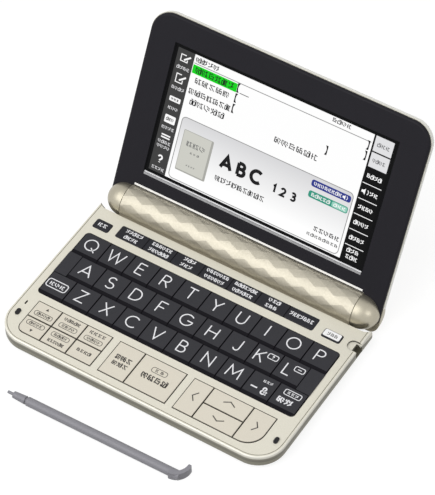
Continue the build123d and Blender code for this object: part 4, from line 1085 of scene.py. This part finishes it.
def right_cells():
    """Eight touch keys in a column: two pale ones and six dark ones parted by lines."""
    pitch = (SCREEN_HEAD - SCREEN_FOOT) / CELLS
    x = (PAGE_RIGHT + SCREEN_RIGHT) / 2
    left, right = PAGE_RIGHT + 0.9, SCREEN_RIGHT - 0.5
    pale, dark_print, light_print = Drawing(), Drawing(), Drawing()
    for i in range(CELLS):
        head = SCREEN_HEAD - i * pitch
        foot = head - pitch
        y = head - pitch / 2
        if i < PALE_CELLS:
            pale.rect(left, right, foot + 0.35, head - 0.35 * i)
            marks(dark_print, x - 3.2, x + 3.4, y, 2.0, 3 + i, 100 + i, 0.3)
            continue
        if i < CELLS - 1:
            light_print.ribbon([(left - 0.3, foot), (right, foot)], 0.34)
        if i == SPEAKER_CELL:
            speaker(light_print, x, y)
            marks(light_print, x - 0.2, x + 4.2, y, 2.1, 2, 103, 0.36)
        elif i == CELLS - 1:
            marks(light_print, x - 3.4, x + 3.0, y + 1.6, 2.2, 3, 108, 0.34)
            marks(light_print, x - 3.2, x + 3.2, y - 1.6, 2.2, 3, 109, 0.34)
        else:
            marks(light_print, x - 3.9, x + 3.9, y, 2.2, 4, 102 + i, 0.36)
    on_screen(pale, "pale_cells", CELL_GREY, 2)
    on_screen(dark_print, "pale_cell_print", TEXT_GREY, 3)
    on_screen(light_print, "dark_cell_print", WHITE, 2)


# A lens-shaped bracket that opens to the right: its points from the middle of its back
BRACKET = ((0, -2.3), (1.3, -2.3), (0.7, -1.2), (0.55, 0), (0.7, 1.2), (1.3, 2.3), (0, 2.3))
# Each bracket's place, and 1 to open to the right or -1 to the left
BRACKETS = ((-24.0, 75.4, 1), (-24.0, 70.3, 1), (-24.0, 65.0, 1), (45.6, 76.0, -1), (45.6, 70.8, -1),
            (26.9, 65.2, -1))
# Rows of signs on the page, as marks takes them
LIST_PRINT = (
    (-47.6, -35.0, 79.9, 2.6, 4, 120, 0.4),
    (25.0, 35.0, 80.5, 2.2, 4, 121, 0.36),
    (-46.6, -25.6, 75.0, 3.2, 6, 122, 0.44),
    (-45.7, -26.8, 70.0, 3.1, 5, 123, 0.42),
    (-47.6, -24.6, 64.2, 3.1, 7, 124, 0.42),
    (-45.6, -26.6, 59.3, 3.1, 5, 125, 0.42),
    (0.0, 23.4, 59.6, 3.2, 6, 127, 0.42),
)
PANEL_PRINT = (
    (-23.6, 3.4, 29.3, 2.9, 9, 130, 0.4),
    (30.2, 44.2, 27.0, 2.4, 5, 131, 0.4),
    (27.6, 44.4, 23.4, 1.6, 8, 132, 0.28),
)
BOOK_PRINT = (
    (-42.0, -31.4, 39.2, 2.8, 3, 133, 0.34),
    (-39.2, -33.6, 35.2, 1.0, 3, 134, 0.2),
    (-39.6, -34.4, 28.6, 0.8, 4, 135, 0.16),
)


def list_page():
    """The upper page: header, and four rows with the first picked out."""
    area("list_bar", GREEN, 2, PAGE_LEFT + 0.3, -24.1, 72.9, 77.2)

    drawing = Drawing()
    drawing.ribbon([(PAGE_LEFT + 0.4, HEADER_FOOT), (PAGE_RIGHT - 0.6, HEADER_FOOT)], 0.4)
    on_screen(drawing, "header_line", LINE_GREY, 2)

    drawing = Drawing()
    rows_of_marks(drawing, LIST_PRINT)
    drawing.ribbon([(-22.2, 73.3), (-17.3, 73.3)], 0.34)
    for x, y, way in BRACKETS:
        drawing.polygon([(x + across * way, y + up) for across, up in BRACKET])
    on_screen(drawing, "list_print", TEXT_BLACK, 3)


def headline_panel():
    """The lower panel, with its edge and the made-up headline."""
    area("panel", gradient_grey(), 2, PANEL_LEFT, PANEL_RIGHT, PANEL_FOOT, PANEL_HEAD, PANEL_CORNER)
    drawing = Drawing()
    drawing.box_outline(PANEL_LEFT, PANEL_RIGHT, PANEL_FOOT, PANEL_HEAD, PANEL_CORNER, 0.4)
    on_screen(drawing, "panel_edge", LINE_GREY, 3)

    drawing = Drawing()
    word(drawing, "ABC", -23.2, 38.3, height=7.6, stroke=1.75, space=1.9)
    word(drawing, "123", 5.6, 36.9, height=4.7, stroke=1.05, space=2.3)
    rows_of_marks(drawing, PANEL_PRINT)
    on_screen(drawing, "headline", TEXT_BLACK, 3)


def book_picture():
    """A small picture of a closed book."""
    area("book_back", BOOK_SHADE, 3, -44.4, -28.2, 24.6, 45.4, 0.6)
    area("book_front", BOOK_GREY, 4, -44.1, -29.4, 25.3, 45.1)
    drawing = Drawing()
    rows_of_marks(drawing, BOOK_PRINT)
    on_screen(drawing, "book_print", TEXT_GREY, 5)


def panel_pills():
    """The two coloured labels at the right of the headline."""
    area("pill_navy", NAVY, 3, 23.6, 44.3, 46.0, 49.4, 1.1)
    area("pill_teal", TEAL, 3, 23.5, 44.2, 40.4, 43.8, 1.1)
    area("pill_mint", MINT, 4, 35.8, 43.8, 40.8, 43.4, 0.8)
    drawing = Drawing()
    marks(drawing, 24.8, 39.6, 47.7, 1.9, 8, 136, 0.28)
    drawing.polygon([(40.0, 47.2), (40.6, 47.2), (41.4, 46.6), (41.4, 48.8), (40.6, 48.2), (40.0, 48.2)])
    drawing.ribbon(arc(41.4, 47.7, 1.1, 1.1, -55, 55, 6), 0.3)
    marks(drawing, 24.8, 35.0, 42.1, 1.9, 5, 137, 0.28)
    marks(drawing, 36.6, 43.2, 42.1, 1.7, 3, 138, 0.28)
    on_screen(drawing, "pill_print", WHITE, 5)


# -------- trims

# The strip in the lid's frame: its half length, its edges along Y and its faces along Z
STRIP_HALF = 62.15
LINE_FOOT, STRIP_FOOT, STRIP_HEAD = 8.98, 9.26, 10.24
STRIP_SEAT, LINE_FACE, STRIP_FACE = 0.08, 0.12, 0.13


def pale_strip():
    """The bright strip along the lid's lower edge, and under it a dark line of painted shadow where the lid
    meets the barrel.
    """
    drawing = Drawing()
    # Painted shadow: a dark line where the lid meets the barrel
    drawing.rect(-STRIP_HALF, STRIP_HALF, LINE_FOOT, STRIP_FOOT)
    drawing.piece("strip_painted_shadow_line", "lid", RUBBER, "bezel_charcoal", LID, STRIP_SEAT, LINE_FACE)
    drawing = Drawing()
    drawing.rect(-STRIP_HALF, STRIP_HALF, STRIP_FOOT, STRIP_HEAD)
    drawing.piece("pale_strip_face", "lid", PALE_STRIP, "trim_silver", LID, STRIP_SEAT, STRIP_FACE)


# -------- studio

# The camera fitted to the photograph: its picture and focal length in pixels, its place and its turn
IMAGE_WIDTH, IMAGE_HEIGHT = 435, 495
FOCAL_PX = 2850.79
MIDDLE_X_PX, MIDDLE_Y_PX = 216.307, 239.105
CAMERA_MM = Vector((458.617, -670.097, 1025.703))
CAMERA_RIGHT = Vector((0.8443039, 0.53561203, -0.01645216))
CAMERA_DOWN = Vector((0.40045216, -0.65105277, -0.64480102))
SENSOR_MM = 36.0
FAR_CLIP_M = 20


def camera():
    """The camera at the photograph's place, with its small shift."""
    data = bpy.data.cameras.new("camera")
    data.sensor_width = SENSOR_MM
    data.lens = SENSOR_MM * FOCAL_PX / IMAGE_HEIGHT
    data.shift_x = (IMAGE_WIDTH / 2 - MIDDLE_X_PX) / IMAGE_HEIGHT
    data.shift_y = (MIDDLE_Y_PX - IMAGE_HEIGHT / 2) / IMAGE_HEIGHT
    data.clip_end = FAR_CLIP_M
    obj = add_object("camera", data)
    up = -CAMERA_DOWN
    back = CAMERA_RIGHT.cross(up)
    turn = Matrix((CAMERA_RIGHT, up, back)).transposed().to_4x4()
    obj.matrix_world = Matrix.Translation(CAMERA_MM * MM) @ turn
    bpy.context.scene.camera = obj


def softbox(name, place, target, width, depth, watts):
    """A rectangular area lamp that points at a target; lengths in metres."""
    data = bpy.data.lights.new(name, "AREA")
    data.shape = "RECTANGLE"
    data.size = width
    data.size_y = depth
    data.energy = watts
    obj = add_object(name, data)
    obj.location = place
    obj.rotation_mode = "QUATERNION"
    obj.rotation_quaternion = (Vector(target) - Vector(place)).to_track_quat("-Z", "Y")


def lights():
    """A broad soft lamp above the front left, and a weak fill from the right."""
    softbox("key_light", place=(-0.45, -0.85, 1.0), target=(0, 0, 0), width=1.5, depth=1.2, watts=11.8)
    softbox("right_fill", place=(1.2, -0.4, 0.8), target=(0, 0, 0.03), width=0.6, depth=0.5, watts=2.5)


# The room's light by height, from 0 for level to 1 for straight up: pairs of height and tone
HORIZON = (0.1, (0.12, 0.12, 0.125, 1))
CEILING = (0.8, (0.7, 0.7, 0.7, 1))
PLAIN_WHITE = (1, 1, 1, 1)


def world():
    """A pale room, brighter above than at the horizon, that looks plain white."""
    room_world = bpy.data.worlds.new("studio")
    bpy.context.scene.world = room_world
    tree = Tree(room_world)
    tree.nodes.clear()
    direction = tree.node("ShaderNodeTexCoord").outputs["Generated"]
    room = tree.node("ShaderNodeBackground")
    tree.links.new(tree.tones(tree.part(direction, "Z"), HORIZON, CEILING), room.inputs["Color"])
    white = tree.node("ShaderNodeBackground", Color=PLAIN_WHITE)
    mix = tree.node("ShaderNodeMixShader")
    tree.links.new(tree.backdrop_rays(), mix.inputs["Fac"])
    tree.links.new(room.outputs["Background"], mix.inputs[1])
    tree.links.new(white.outputs["Background"], mix.inputs[2])
    out = tree.node("ShaderNodeOutputWorld")
    tree.links.new(mix.outputs["Shader"], out.inputs["Surface"])


FLOOR_HALF_M = 6.0
FLOOR_GRAIN_MM = 25.0
# The floor adds this much light where it is seen straight on, so that it looks as white as the room
FLOOR_GLOW = 0.8


def floor():
    """A wide pale table top under the feet."""
    half = FLOOR_HALF_M
    data = bpy.data.meshes.new("floor")
    corners = [(-half, -half, 0), (half, -half, 0), (half, half, 0), (-half, half, 0)]
    data.from_pydata(corners, [], [(0, 1, 2, 3)])
    obj = add_object("floor", data)
    mat = Material("floor_pale")
    mat.colours(mat.noise(FLOOR_GRAIN_MM), srgb(142, 142, 142), srgb(146, 146, 146))
    mat.set(Roughness=0.8, Specular_IOR_Level=0.1, Emission_Color=PLAIN_WHITE)
    mat.feed("Emission Strength", mat.spread(mat.backdrop_rays(), 0, 1, 0, FLOOR_GLOW))
    data.materials.append(mat.data)


finish_nodes()
letter_legends()
wide_key_legends()
function_legends()
quick_key_legends()
large_soft_legends()
screen_areas()
left_icons()
right_cells()
list_page()
headline_panel()
book_picture()
panel_pills()
pale_strip()
camera()
world()
floor()
lights()
bpy.context.scene.view_settings.view_transform = "Standard"
